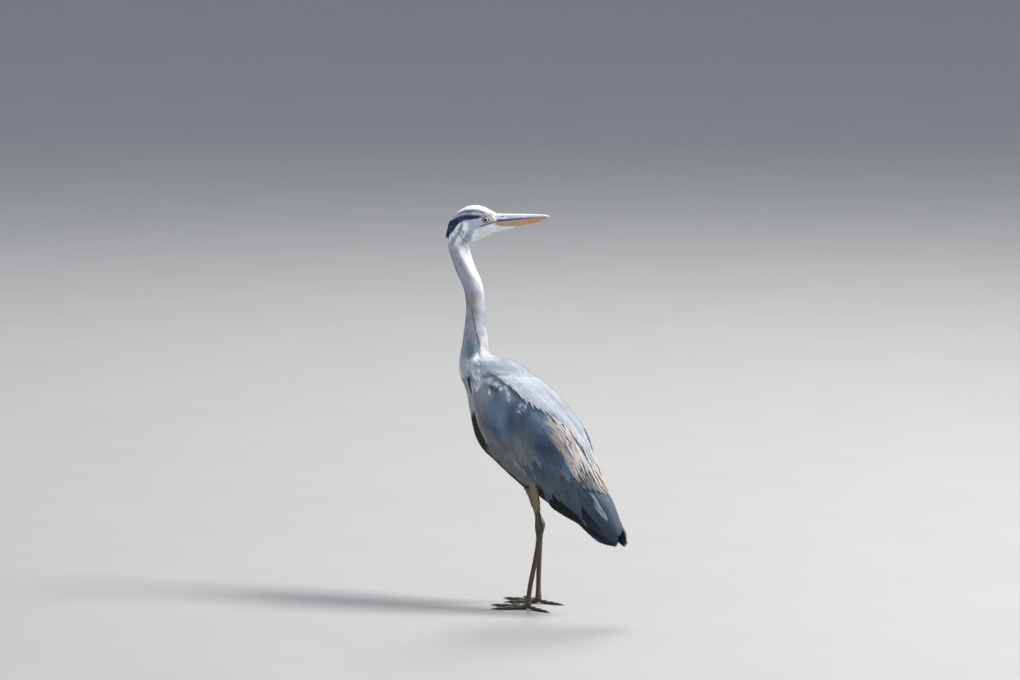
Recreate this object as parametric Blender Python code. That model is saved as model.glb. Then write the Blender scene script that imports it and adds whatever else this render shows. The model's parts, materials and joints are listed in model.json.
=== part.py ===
"""Grey heron, life size, standing on both feet with its head turned back over its tail.

Metres, +Z up. The body faces -Y, its left side is +X, and the soles stand on Z = 0.
The tables and functions work in millimetres, and MM turns them into metres as each mesh is made.
The trunk, neck and wings are read from one run of cross-sections, SPINE, which goes from the wing
tips through the trunk and up the neck. Each piece takes its own stretch of that run.
"""

import math

import bmesh
import bpy
import numpy as np
from mathutils import Vector

MM = 0.001
GAP = 0.3  # clear space between pieces that meet, mm

# Cross-sections from the wing tips to the skull: centre y and z, pitch of the spine above the
# horizontal in degrees, then the radii towards the back, the belly and each side, in mm.
SPINE = {
    "wing_tips": (213, 137, 43, 17, 12, 14),
    "tail_end": (179, 170, 43, 29, 29, 22),
    "tail_middle": (152, 194, 43, 42, 37, 28),
    "tail_root": (115, 227, 43, 54, 55, 35),
    "rump": (86, 254, 43, 68, 68, 42),
    "hips": (50, 289, 43, 84, 79, 50),
    "loin": (16, 320, 43, 90, 86, 55),
    "ribs": (-27, 361, 43, 88, 95, 57),
    "breast": (-60, 392, 43, 84.5, 94, 55),
    "shoulders": (-89, 420, 48, 84, 67, 50),
    "wishbone": (-113, 444, 56, 76.5, 43.5, 43),
    "neck_root": (-129, 468, 66, 56, 40, 36),
    "neck_base": (-136, 490, 80, 29, 33, 30),
    "neck_ruff": (-138, 512, 88, 26, 25.5, 26),
    "neck_low": (-137, 542, 90, 22, 22, 22),
    "neck_straight": (-136, 582, 89, 18.5, 18.5, 18),
    "neck_kink": (-138, 605, 83, 18.5, 18, 17.5),
    "neck_bend": (-144, 632, 72, 19, 18.5, 17.5),
    "neck_lean": (-158, 661, 65, 18.5, 20, 17.5),
    "neck_high": (-170, 690, 71, 18.5, 21.5, 17),
    "neck_top": (-177, 716, 82, 17.5, 22, 16.5),
    "skull_base": (-179, 742, 88, 14, 18, 13.5),
}
SECTION_POWER = 2.15  # 2 is an ellipse; more is squarer

SIDES = {"left": 1, "right": -1}  # the bird's own, by the sign of X

# Where the neck is parted, and where the trunk ends towards the tail.
TRUNK_TOP = "neck_ruff"
NECK_CUTS = ("neck_low", "neck_kink", "neck_high")
TRUNK_TAIL = 112  # distances along the spine from the wing tips
TRUNK_ROUNDS = 165

# Head, in its own frame: forward from the eyes, up from the eyes, half width.
HEAD_TURN = -165  # turn of the head from the way the body faces, degrees (+ is to its left)
HEAD_EYES = (-16, -118, 763)  # point midway between the eyes
HEAD = (  # forward, top, bottom, half width
    (-82, -15, -29, 5),
    (-77, -5, -37, 11),
    (-69, 6, -43, 15),
    (-58, 16, -48, 17),
    (-44, 23.5, -49, 18.3),
    (-28, 26.5, -45.5, 18.8),
    (-14, 25.5, -40, 18.2),
    (-2, 21.5, -34.5, 16.2),
    (8, 16.5, -29.5, 13.2),
    (18, 12, -25.5, 10),
)
HEAD_MIDDLE = -3  # height of the widest level of the head

EYE_RADIUS = 8.3
EYE_PLACE = (0, 9.6, 0)  # forward, out to each side, up

BILL_LENGTH = 110  # from the feathering to the tip
BILL = (  # share of its length, half width, heights of the ridge, the mouth line and the lower edge
    (0, 8.6, 11, -4.2, -16.5),
    (0.2, 7, 11.6, -1.6, -14.6),
    (0.4, 5.4, 12.2, 1.2, -11.8),
    (0.6, 3.9, 12.6, 4.2, -7.2),
    (0.8, 2.4, 12.5, 7, -1.5),
    (0.93, 1.4, 11.7, 8.5, 4.4),
    (1, 0.6, 10, 9.3, 8.6),
)
CHIN_FEATHERS = (  # forward, lower edge and half width of the feathering under the bill
    (12, -28, 8),
    (18, -25.5, 7.5),
    (37, -21.2, 5.6),
    (53, -16.3, 3.6),
    (61, -13.3, 2),
)

CREST = ((-62, 8), (-72, 0), (-79, -12), (-83.5, -26), (-86, -41))  # forward and up, root to tip
CREST_HALF_WIDTH = 6
CREST_THICKNESS = 3

# Wings, on the run of cross-sections: distance from the wing tips, and angle round from the back.
WING_FRONT = 438  # distance of the foremost edge from the wing tips
WING_REAR = 88  # distance of the tertials' tips from the wing tips
WING_THICKNESS = (1.4, 13)  # at the edges and in the middle
FLIGHT_FRONT = 205  # distance of the flight feathers' roots from the wing tips
FLIGHT_THICKNESS = 3.2
FLIGHT_INSET = 1.0  # how far under the run of sections they lie
PRIMARY_TIPS = {"left": 7, "right": 0}  # distance of the longest primary from the wing tips

TAIL_ROOT = 158
TAIL_TIP = 18  # distance of the middle feathers' tips from the wing tips
TAIL_STEP = 20  # how much shorter the outermost feathers are
TAIL_DROP = (35, 16)  # below the spine at the root and at the tip
TAIL_ARCH = (0, 14)  # how much lower its side edges hang there
TAIL_HALF_WIDTH = (17, 14)
TAIL_THICKNESS = 3.5
TAIL_FEATHERS = 6  # tips along the fan's end edge

# Legs: x, y of the foot; x, y, z of the heel; x, y, z of the knee, inside the trunk.
LEGS = {
    "left": ((33, 9.4), (33, 34.7, 165), (27, 8, 330)),
    "right": ((-33, -9.6), (-33, -3.5, 160), (-27, -68, 330)),
}
ANKLE_HEIGHT = 12  # the tarsus stands on the ball of the foot here
BARE_SHARE = 0.27  # share of the lower leg, from the heel up, that has no feathers
THIGH_RADII = (7, 25)
SHANK_RADIUS = 5.4
HEEL_RADIUS = 8.4
HEEL_LENGTH = 15
TARSUS_RADIUS = 4.8
TOES = {  # heading from straight ahead in degrees (positive is outwards), length, radius
    "inner": (-26, 56, 4.2),
    "middle": (3, 74, 4.5),
    "outer": (33, 62, 4.2),
    "hind": (172, 44, 4.0),
}
TOE_SINK = 0.5  # how far each toe's underside is flattened by the ground
CLAW_LENGTH = 13
CLAW_RADIUS = 2.3
BALL_RADIUS = 8

COLOURS = {
    "plumage_grey": ((0.36, 0.38, 0.42), 0.8),
    "plumage_pale": ((0.66, 0.67, 0.68), 0.8),
    "plumage_dark": ((0.06, 0.07, 0.10), 0.7),
    "bill_upper_horn": ((0.33, 0.33, 0.32), 0.4),
    "bill_lower_horn": ((0.72, 0.42, 0.20), 0.4),
    "eye": ((0.85, 0.62, 0.12), 0.1),
    "leg_scales": ((0.20, 0.16, 0.13), 0.6),
    "claw": ((0.07, 0.06, 0.05), 0.4),
}


# ---------------------------------------------------------------- scene and meshes


def clear_scene():
    for obj in list(bpy.data.objects):
        bpy.data.objects.remove(obj, do_unlink=True)


def make_collection(name):
    made = bpy.data.collections.new(name)
    bpy.context.scene.collection.children.link(made)
    return made


def make_materials():
    made = {}
    for name, (colour, roughness) in COLOURS.items():
        material = bpy.data.materials.new(name)
        material.use_nodes = True
        shader = material.node_tree.nodes["Principled BSDF"]
        shader.inputs["Base Color"].default_value = (*colour, 1)
        shader.inputs["Roughness"].default_value = roughness
        shader.inputs["Metallic"].default_value = 0
        made[name] = material
    return made


def add_mesh(name, points, faces, material=None):
    """A smooth-shaded object from points in mm. It is a part if it has a material, else a cutter."""
    mesh = bpy.data.meshes.new(name)
    mesh.from_pydata([tuple(p) for p in np.asarray(points, float) * MM], [], faces)
    work = bmesh.new()
    work.from_mesh(mesh)
    bmesh.ops.recalc_face_normals(work, faces=work.faces)
    work.to_mesh(mesh)
    work.free()
    return add_object(name, mesh, material)


def add_object(name, mesh, material=None):
    mesh.shade_smooth()
    mesh.set_sharp_from_angle(angle=math.radians(40))
    obj = bpy.data.objects.new(name, mesh)
    if material is None:
        cutters.objects.link(obj)
        obj.hide_render = True
        obj.display_type = "WIRE"
    else:
        mesh.materials.append(materials[material])
        heron.objects.link(obj)
        obj.parent = stance
    return obj


def boolean(obj, other, operation):
    modifier = obj.modifiers.new(f"{operation.lower()}_{other.name}", "BOOLEAN")
    modifier.operation = operation
    modifier.object = other
    modifier.solver = "EXACT"


def loft(name, rings, material=None):
    """A closed solid through rings of points, shape (rings, points, 3), capped at both ends."""
    rings = np.asarray(rings, float)
    count, around = rings.shape[:2]
    faces = [
        (
            i * around + j,
            i * around + (j + 1) % around,
            (i + 1) * around + (j + 1) % around,
            (i + 1) * around + j,
        )
        for i in range(count - 1)
        for j in range(around)
    ]
    faces.append(tuple(range(around)))
    faces.append(tuple(range((count - 1) * around, count * around)))
    return add_mesh(name, rings.reshape(-1, 3), faces, material)


def slab(name, outer, inner, material=None):
    """A closed solid between two open grids of points, each of shape (along, across, 3)."""
    outer, inner = np.asarray(outer, float), np.asarray(inner, float)
    along, across = outer.shape[:2]
    half = along * across
    grid = np.arange(half).reshape(along, across)
    faces = []
    for i in range(along - 1):
        for j in range(across - 1):
            cell = grid[i, j], grid[i, j + 1], grid[i + 1, j + 1], grid[i + 1, j]
            faces.append(cell)
            faces.append(tuple(half + corner for corner in reversed(cell)))
    rim = np.concatenate([grid[0, :-1], grid[:-1, -1], grid[-1, :0:-1], grid[:0:-1, 0]])
    for here, after in zip(rim, np.roll(rim, -1)):
        faces.append((here, after, half + after, half + here))
    points = np.concatenate([outer.reshape(-1, 3), inner.reshape(-1, 3)])
    return add_mesh(name, points, [tuple(int(v) for v in face) for face in faces], material)


def tube(name, path, radii, material=None, sides=2):
    """A round tube along a path in mm, with a radius at each point, as a mesh with welded caps."""
    data = bpy.data.curves.new(name, "CURVE")
    data.dimensions = "3D"
    data.bevel_depth = MM
    data.bevel_resolution = sides
    data.use_fill_caps = True
    data.twist_mode = "MINIMUM"
    line = data.splines.new("POLY")
    line.points.add(len(path) - 1)
    for point, place, radius in zip(line.points, path, radii):
        point.co = (*(np.asarray(place) * MM), 1)
        point.radius = radius
    curve = bpy.data.objects.new(name + "_curve", data)
    bpy.context.scene.collection.objects.link(curve)
    bpy.context.view_layer.update()
    evaluated = curve.evaluated_get(bpy.context.evaluated_depsgraph_get())
    mesh = bpy.data.meshes.new_from_object(evaluated)
    mesh.name = name
    bpy.data.objects.remove(curve, do_unlink=True)
    work = bmesh.new()
    work.from_mesh(mesh)
    bmesh.ops.remove_doubles(work, verts=work.verts, dist=0.01 * MM)
    bmesh.ops.recalc_face_normals(work, faces=work.faces)
    work.to_mesh(mesh)
    work.free()
    mesh.materials.clear()
    return add_object(name, mesh, material)


# ---------------------------------------------------------------- curves and sections


def through(knots, rows, at):
    """The natural cubic spline through one row for each knot, read at the places given."""
    knots, rows, at = (np.asarray(value, float) for value in (knots, rows, at))
    step = np.diff(knots)
    slope = np.diff(rows, axis=0) / step[:, None]
    system = np.eye(len(knots))
    right = np.zeros_like(rows)
    for i in range(1, len(knots) - 1):
        system[i, i - 1 : i + 2] = step[i - 1], 2 * (step[i - 1] + step[i]), step[i]
        right[i] = 6 * (slope[i] - slope[i - 1])
    bend = np.linalg.solve(system, right)
    cell = np.clip(np.searchsorted(knots, at) - 1, 0, len(knots) - 2)
    u = (at - knots[cell])[..., None]
    width = step[cell][..., None]
    first, last = bend[cell], bend[cell + 1]
    start = slope[cell] - width * (2 * first + last) / 6
    return rows[cell] + u * start + u**2 * first / 2 + u**3 * (last - first) / (6 * width)


def ease(value):
    """0 below 0, 1 above 1, and a smooth step between."""
    value = np.clip(value, 0, 1)
    return value * value * (3 - 2 * value)


def mix(a, b, share):
    return a + (b - a) * share


SPINE_ROWS = np.array(list(SPINE.values()), float)
SPINE_KNOTS = np.concatenate(
    [[0], np.cumsum(np.linalg.norm(np.diff(SPINE_ROWS[:, :2], axis=0), axis=1))]
)
ALONG = dict(zip(SPINE, SPINE_KNOTS))  # each named section's distance from the wing tips


def body_point(along, angle, grow=0.0, taper=1.0):
    """A point on the body: distance from the wing tips, and degrees round from the back (+ is left).

    The section is a superellipse in the plane across the spine, its radii larger by grow.
    """
    along, angle = np.broadcast_arrays(np.asarray(along, float), np.radians(angle))
    y, z, pitch, back, belly, side = np.moveaxis(
        through(SPINE_KNOTS, SPINE_ROWS, along), -1, 0
    )
    pitch = np.radians(pitch)
    cosine, sine = np.cos(angle), np.sin(angle)
    power = 2 / SECTION_POWER
    depth = np.where(cosine > 0, back, belly) * taper + grow
    up = depth * np.sign(cosine) * np.abs(cosine) ** power
    out = (side * taper + grow) * np.sign(sine) * np.abs(sine) ** power
    return np.stack([out, y + up * np.sin(pitch), z + up * np.cos(pitch)], -1)


def body_rings(low, high, count, around):
    """Rings of the body between two distances from the wing tips."""
    along = np.linspace(low, high, count)
    return body_point(along[:, None], np.arange(around) * 360 / around)


def trunk_taper(along):
    """The trunk fills the run of sections, and rounds off over the root of the tail."""
    share = np.clip((TRUNK_ROUNDS - along) / (TRUNK_ROUNDS - TRUNK_TAIL), 0, 1)
    return np.sqrt(1 - 0.85 * share**2)


def trunk_rings(clear=0.0):
    """Rings of the trunk, drawn in where the flight feathers lie over it."""
    top = ALONG[TRUNK_TOP] - GAP / 2
    rump = np.linspace(TRUNK_TAIL, TRUNK_ROUNDS, 6)[:-1]
    along = np.concatenate([rump, np.linspace(TRUNK_ROUNDS, top, 17)])
    along[0] -= clear
    drawn_in = -(FLIGHT_INSET + FLIGHT_THICKNESS + 2) * ease((FLIGHT_FRONT + 32 - along) / 20)
    angle = np.arange(24) * 360 / 24
    return body_point(
        along[:, None], angle, (drawn_in + clear)[:, None], trunk_taper(along)[:, None]
    )


# ---------------------------------------------------------------- trunk, neck and tail


def build_trunk():
    loft("trunk", trunk_rings(), "plumage_grey")
    return loft("trunk_cutter", trunk_rings(GAP))


def build_neck():
    cuts = [ALONG[name] for name in (TRUNK_TOP, *NECK_CUTS)]
    for name, low, high in zip(("neck_lower", "neck_middle", "neck_upper"), cuts, cuts[1:]):
        rings = body_rings(low + GAP / 2, high - GAP / 2, 6, 16)
        loft(name, rings, "plumage_pale")


def build_tail(trunk_cutter):
    """An arched fan whose end edge is cut into rounded feather tips, rooted in the rump."""
    across = np.linspace(-1, 1, 4 * TAIL_FEATHERS + 1)
    feather = np.abs((across + 1) / 2 * TAIL_FEATHERS % 1 - 0.5) * 2
    tip = TAIL_TIP + 4 * feather**2 + TAIL_STEP * across**2
    share = np.linspace(0, 1, 4)[:, None]
    along = mix(TAIL_ROOT - 10, tip[None, :], share)
    y, z, pitch = np.moveaxis(through(SPINE_KNOTS, SPINE_ROWS[:, :3], along), -1, 0)
    drop = mix(*TAIL_DROP, share) + mix(*TAIL_ARCH, share) * across**2
    pitch = np.radians(pitch)
    out = across * mix(*TAIL_HALF_WIDTH, share)

    def layer(thickness):
        up = -drop - thickness
        return np.stack(
            np.broadcast_arrays(out, y + up * np.sin(pitch), z + up * np.cos(pitch)), -1
        )

    tail = slab("tail", layer(0), layer(TAIL_THICKNESS), "plumage_dark")
    boolean(tail, trunk_cutter, "DIFFERENCE")


# ---------------------------------------------------------------- wings


def wing_edges(along):
    """Upper and lower edge of the folded wing, in degrees round from the back."""
    forward = ease((along - 300) / 140)
    clear = np.degrees(0.9 / np.interp(along, SPINE_KNOTS, SPINE_ROWS[:, 5]))
    upper = mix(clear, 34.0, forward**1.5)
    rearward = ease((ALONG["hips"] - along) / 120)
    lower = mix(mix(127.0, 112.0, forward), 112.0, rearward)
    return upper, lower


def wing_grid(side, offset, rows=18, columns=11, clear=0.0):
    """Points of one wing: rows from the shoulder to the tertials' tips, columns from back to belly.

    Offset 0 is the side against the body and 1 the outside; clear thickens both, in mm.
    """
    share = np.linspace(0, 1, rows)[:, None]
    across = np.linspace(0, 1, columns)[None, :]
    front = WING_FRONT - 44 * np.abs(2 * across - 1.15) ** 2.4
    rear = WING_REAR + 70 * across**1.3
    along = mix(front, rear, share)
    upper, lower = wing_edges(along)
    angle = mix(upper, lower + 2 * clear, across)
    edge = (np.sin(math.pi * across) * np.sin(math.pi * np.clip(share * 2.2, 0, 0.5))) ** 0.6
    thick = mix(*WING_THICKNESS, edge * mix(1, 0.12, ease((share - 0.45) / 0.55)))
    under = mix(GAP, -3.0, ease((along - FLIGHT_FRONT - 18) / 12))
    return body_point(along, angle * SIDES[side], mix(under - clear, GAP + thick + clear, offset))


def flight_grid(side, offset, rows=6, columns=21):
    """The folded flight feathers behind and below the wing, each with its own rounded tip."""
    feathers = 5
    across = np.linspace(0, 1, columns)[None, :]
    share = np.linspace(0, 1, rows)[:, None] ** 1.6
    feather = across * feathers % 1
    number = np.minimum(np.floor(across * feathers), feathers - 1)
    notch = (2 * np.abs(feather - 0.5)) ** 2
    rear = PRIMARY_TIPS[side] + 3 * np.maximum(number - 2, 0) ** 2 + 6 * notch
    along = mix(FLIGHT_FRONT - 30 * (1 - across), rear, share)
    upper, _ = wing_edges(along)
    lower = mix(136.0, 146.0, ease((along - 40) / 60))
    lower = mix(lower, 108.0, ease((along - 155) / 45))
    angle = mix(upper, lower, across)
    return body_point(along, angle * SIDES[side], -FLIGHT_INSET - offset * FLIGHT_THICKNESS)


def build_wings(trunk_cutter):
    for side in SIDES:
        wing = slab(f"wing_{side}", wing_grid(side, 1), wing_grid(side, 0), "plumage_grey")
        boolean(wing, trunk_cutter, "DIFFERENCE")
        slab(f"primaries_{side}", flight_grid(side, 0), flight_grid(side, 1), "plumage_dark")


# ---------------------------------------------------------------- head


def head_frame():
    """Forward, left and up for the turned head."""
    turn = math.radians(HEAD_TURN - 90)
    forward = np.array([math.cos(turn), math.sin(turn), 0])
    up = np.array([0, 0, 1.0])
    return forward, np.cross(up, forward), up


def head_place(forward, left, up):
    """A point of the head, from its distances forward, left and up from between the eyes."""
    axes = head_frame()
    parts = np.broadcast_arrays(forward, left, up)
    return np.array(HEAD_EYES) + sum(p[..., None] * axis for p, axis in zip(parts, axes))


def head_rings(count=12, around=20):
    rows = np.array(HEAD, float)
    knots = rows[:, 0]
    forward = mix(knots[0], knots[-1], np.sin(np.linspace(0, 1, count) * math.pi / 2) ** 1.1)
    top, bottom, half = np.moveaxis(through(knots, rows[:, 1:], forward), -1, 0)
    middle = np.clip(HEAD_MIDDLE, bottom + 4, top - 4)[:, None]
    angle = np.arange(around)[None, :] * 2 * math.pi / around
    rise = np.cos(angle)
    up = middle + np.where(rise > 0, top[:, None] - middle, middle - bottom[:, None]) * rise
    lower = np.clip(-rise, 0, 1)
    out = half[:, None] * np.sin(angle) * (1 - 0.22 * lower)
    return head_place(forward[:, None], out, up)


def build_head():
    head = loft("head", head_rings(), "plumage_pale")
    stub = body_rings(ALONG[NECK_CUTS[-1]] + GAP / 2, ALONG["skull_base"], 6, 16)
    boolean(head, loft("neck_stub", stub), "UNION")
    boolean(head, build_crest(), "UNION")
    boolean(head, build_chin(), "UNION")
    forward, out, up = EYE_PLACE
    for side, sign in SIDES.items():
        place = head_place(forward, np.array(sign * out), up)
        boolean(head, ball(f"socket_{side}", place, EYE_RADIUS + GAP), "DIFFERENCE")
        ball(f"eye_{side}", place, EYE_RADIUS, "eye")


def build_crest():
    """The short plume that lies down the nape, rooted inside the back of the head."""
    share = np.linspace(0, 1, 7)
    forward, up = through(np.linspace(0, 1, len(CREST)), CREST, share).T
    slope = np.gradient(forward), np.gradient(up)
    tilt = np.arctan2(slope[0], -slope[1])[:, None]
    angle = np.arange(8)[None, :] * math.pi / 4
    half = CREST_HALF_WIDTH * (1 - share[:, None] ** 2) ** 0.6 + 0.9
    thick = CREST_THICKNESS * (1 - 0.75 * share[:, None])
    lift = thick * np.sin(angle)
    back = forward[:, None] - lift * np.cos(tilt)
    return loft("crest", head_place(back, half * np.cos(angle), up[:, None] - lift * np.sin(tilt)))


def ball(name, place, radius, material=None, rings=8, segments=12):
    mesh = bpy.data.meshes.new(name)
    work = bmesh.new()
    bmesh.ops.create_uvsphere(work, u_segments=segments, v_segments=rings, radius=radius * MM)
    work.to_mesh(mesh)
    work.free()
    obj = add_object(name, mesh, material)
    obj.location = Vector(np.asarray(place, float) * MM)
    return obj


def bill_profile(forward):
    """Half width, ridge, mouth line and lower edge of the bill, that far ahead of the eyes."""
    rows = np.array(BILL, float)
    share = np.clip((forward - HEAD[-1][0] - GAP) / BILL_LENGTH, 0, 1)
    return np.moveaxis(through(rows[:, 0], rows[:, 1:], share), -1, 0)


def build_chin():
    """The wedge of feathers that fills the fork of the lower mandible, rooted inside the head."""
    rows = np.array(CHIN_FEATHERS, float)
    forward = np.linspace(rows[0, 0], rows[-1, 0], 8)[:, None]
    bottom, half = np.moveaxis(through(rows[:, 0], rows[:, 1:], forward), -1, 0)
    top = bill_profile(forward)[3] - GAP
    angle = np.linspace(0, math.pi, 7)[None, :]
    return loft("chin", head_place(forward, half * np.cos(angle), mix(top, bottom, np.sin(angle))))


def build_bill():
    """Upper and lower mandible: arches over and under the line of the mouth."""
    start = HEAD[-1][0] + GAP
    forward = start + BILL_LENGTH * np.linspace(0, 1, 11)[:, None]
    width, ridge, mouth, chin = bill_profile(forward)
    angle = np.linspace(0, math.pi, 9)[None, :]
    out = width * np.cos(angle)
    arch = np.sin(angle) ** 0.85
    pieces = {
        "bill_upper": (mouth + GAP / 2, ridge, "bill_upper_horn"),
        "bill_lower": (mouth - GAP / 2, chin, "bill_lower_horn"),
    }
    for name, (flat, edge, material) in pieces.items():
        loft(name, head_place(forward, out, mix(flat, edge, arch)), material)


# ---------------------------------------------------------------- legs


def build_leg(side, trunk_cutter):
    foot, heel, knee = (np.array(value, float) for value in LEGS[side])
    ankle = np.array([*foot, ANKLE_HEIGHT])
    bare_top = mix(heel, knee, BARE_SHARE)
    lower_leg = (knee - heel) / np.linalg.norm(knee - heel)
    shank_start = heel + lower_leg * HEEL_LENGTH * 0.5

    share = np.linspace(0, 1, 8)
    thigh = tube(
        f"thigh_{side}",
        [mix(bare_top, knee, s) for s in share],
        mix(*THIGH_RADII, share**1.3),
        "plumage_pale",
        sides=3,
    )
    boolean(thigh, trunk_cutter, "DIFFERENCE")
    layers = (wing_grid(side, offset, clear=1.0) for offset in (0, 1))
    boolean(thigh, slab(f"wing_cutter_{side}", *layers), "DIFFERENCE")

    swell = np.exp(-(((np.linspace(0, 1, 6)) / 0.35) ** 2))
    tube(
        f"shank_{side}",
        [mix(shank_start, bare_top - lower_leg * GAP, s) for s in np.linspace(0, 1, 6)],
        SHANK_RADIUS + (HEEL_RADIUS - SHANK_RADIUS) * swell,
        "leg_scales",
    )
    tarsus_top = shank_start - lower_leg * GAP
    below_heel = heel - np.array([0, 0, HEEL_LENGTH * 0.4])
    above_foot = ankle + np.array([0, 0, 3])
    shaft = [mix(below_heel, above_foot, s) for s in np.linspace(0, 1, 11)]
    path = [tarsus_top, tarsus_top - lower_leg * 4, *shaft, ankle]
    length = np.concatenate([[0], np.cumsum(np.linalg.norm(np.diff(path, axis=0), axis=1))])
    knob = np.exp(-(((length - HEEL_LENGTH * 0.45) / (HEEL_LENGTH * 0.9)) ** 2))
    foot_end = np.exp(-(((length - length[-1]) / 12) ** 2))
    radii = TARSUS_RADIUS + (HEEL_RADIUS - TARSUS_RADIUS) * knob + 1.8 * foot_end
    tube(f"tarsus_{side}", path, radii, "leg_scales")
    build_foot(side, ankle)


def build_foot(side, ankle):
    """The ball of the foot with its four toes, flattened by the ground, and a claw on each toe."""
    hub = ankle - np.array([0, 0, GAP + BALL_RADIUS * 0.8])
    foot = ball(f"foot_{side}", hub, BALL_RADIUS, "leg_scales", 8, 12)
    ground = bpy.data.meshes.new("ground")
    work = bmesh.new()
    bmesh.ops.create_cube(work, size=0.5)
    work.to_mesh(ground)
    work.free()
    ground_cutter = add_object(f"ground_{side}", ground)
    ground_cutter.location = (0, 0, -0.25)
    ceiling = add_object(f"ceiling_{side}", ground.copy())
    ceiling.location = (0, 0, (ankle[2] - GAP) * MM + 0.25)
    for name, (heading, length, radius) in TOES.items():
        turn = math.radians(heading * SIDES[side] - 90)
        ahead = np.array([math.cos(turn), math.sin(turn), 0])
        share = np.linspace(0, 1, 9)
        height = radius - TOE_SINK + 2.5 * (1 - share) ** 3
        pads = 1 + 0.10 * np.cos(share * 2 * math.pi * 3)
        size = radius * (1 - 0.34 * share) * pads
        path = hub * (1, 1, 0) + ahead * length * share[:, None]
        path[:, 2] = np.where(share > 0.15, size - TOE_SINK, height)
        boolean(foot, tube(f"toe_{name}_{side}", path, size), "UNION")
        build_claw(f"claw_{name}_{side}", path[-1], ahead, size[-1])
    boolean(foot, ground_cutter, "DIFFERENCE")
    boolean(foot, ceiling, "DIFFERENCE")


def build_claw(name, toe_end, ahead, toe_radius):
    """A claw that leaves the toe's end level and curves down to just above the ground."""
    share = np.linspace(0, 1, 5)
    start = toe_end + ahead * GAP
    drop = (start[2] - 0.7) * share**2
    path = start + ahead * CLAW_LENGTH * share[:, None]
    path[:, 2] -= drop
    radii = np.minimum(CLAW_RADIUS, toe_radius) * (1 - 0.82 * share)
    tube(name, path, radii, "claw", sides=1)


# ---------------------------------------------------------------- assembly


def centre_on_origin():
    """Moves the whole bird so that its box stands on the ground with its centre on the Z axis."""
    bpy.context.view_layer.update()
    graph = bpy.context.evaluated_depsgraph_get()
    corners = [
        obj.matrix_world @ Vector(corner)
        for obj in heron.objects
        if obj.type == "MESH"
        for corner in obj.evaluated_get(graph).bound_box
    ]
    low, high = np.min(corners, axis=0), np.max(corners, axis=0)
    stance.location = (-(low[0] + high[0]) / 2, -(low[1] + high[1]) / 2, 0)
    for obj in cutters.objects:
        obj.parent = stance


clear_scene()
heron = make_collection("grey_heron")
cutters = make_collection("cutters")
materials = make_materials()
stance = bpy.data.objects.new("stance", None)
heron.objects.link(stance)

body_cutter = build_trunk()
build_neck()
build_tail(body_cutter)
build_wings(body_cutter)
build_head()
build_bill()
for leg_side in LEGS:
    build_leg(leg_side, body_cutter)
centre_on_origin()
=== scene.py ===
"""Grey heron, life size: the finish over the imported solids.

The tables and surface functions work in millimetres in the bird's own frame: the body faces -Y, its
left side is +X, and the feet stand on Z = 0 either side of the origin. Meshes are in metres.
"""

import json
import math

import bpy
import numpy as np
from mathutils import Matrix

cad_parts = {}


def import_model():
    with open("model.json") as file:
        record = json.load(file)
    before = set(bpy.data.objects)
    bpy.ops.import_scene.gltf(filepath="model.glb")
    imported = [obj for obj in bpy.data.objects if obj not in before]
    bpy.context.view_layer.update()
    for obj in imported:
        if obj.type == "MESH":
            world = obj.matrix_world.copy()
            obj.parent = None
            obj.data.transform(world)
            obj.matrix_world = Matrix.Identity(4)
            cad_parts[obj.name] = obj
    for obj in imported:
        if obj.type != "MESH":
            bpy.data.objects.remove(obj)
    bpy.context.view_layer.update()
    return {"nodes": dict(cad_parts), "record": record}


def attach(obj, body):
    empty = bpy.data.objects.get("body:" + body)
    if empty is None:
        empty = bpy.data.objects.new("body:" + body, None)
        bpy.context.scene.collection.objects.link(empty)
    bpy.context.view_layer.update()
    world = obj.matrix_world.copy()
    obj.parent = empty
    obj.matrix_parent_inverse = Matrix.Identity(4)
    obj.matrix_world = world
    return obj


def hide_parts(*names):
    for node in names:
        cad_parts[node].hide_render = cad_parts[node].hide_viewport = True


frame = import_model()

MM = 0.001
LEFT_FOOT = (33, 9.4)  # where the left foot stands in the bird's own frame


def frame_origin():
    """Where the bird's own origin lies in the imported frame, in mm, from the mount under the foot."""
    mounts = {mount["name"]: mount for mount in frame["record"]["mounts"]}
    sole = np.array(mounts["sole_left"]["pos_m"]) / MM
    return sole - np.array([*LEFT_FOOT, 0])


ORIGIN = frame_origin()

# Cross-sections from the wing tips to the skull: centre y and z, pitch of the spine above the
# horizontal in degrees, then the radii towards the back, the belly and each side.
SPINE = {
    "wing_tips": (213, 137, 43, 17, 12, 14),
    "tail_end": (179, 170, 43, 29, 29, 22),
    "tail_middle": (152, 194, 43, 42, 37, 28),
    "tail_root": (115, 227, 43, 54, 55, 35),
    "rump": (86, 254, 43, 68, 68, 42),
    "hips": (50, 289, 43, 84, 79, 50),
    "loin": (16, 320, 43, 90, 86, 55),
    "ribs": (-27, 361, 43, 88, 95, 57),
    "breast": (-60, 392, 43, 84.5, 94, 55),
    "shoulders": (-89, 420, 48, 84, 67, 50),
    "wishbone": (-113, 444, 56, 76.5, 43.5, 43),
    "neck_root": (-129, 468, 66, 56, 40, 36),
    "neck_base": (-136, 490, 80, 29, 33, 30),
    "neck_ruff": (-138, 512, 88, 26, 25.5, 26),
    "neck_low": (-137, 542, 90, 22, 22, 22),
    "neck_straight": (-136, 582, 89, 18.5, 18.5, 18),
    "neck_kink": (-138, 605, 83, 18.5, 18, 17.5),
    "neck_bend": (-144, 632, 72, 19, 18.5, 17.5),
    "neck_lean": (-158, 661, 65, 18.5, 20, 17.5),
    "neck_high": (-170, 690, 71, 18.5, 21.5, 17),
    "neck_top": (-177, 716, 82, 17.5, 22, 16.5),
    "skull_base": (-179, 742, 88, 14, 18, 13.5),
}
SECTION_POWER = 2.15

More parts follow.
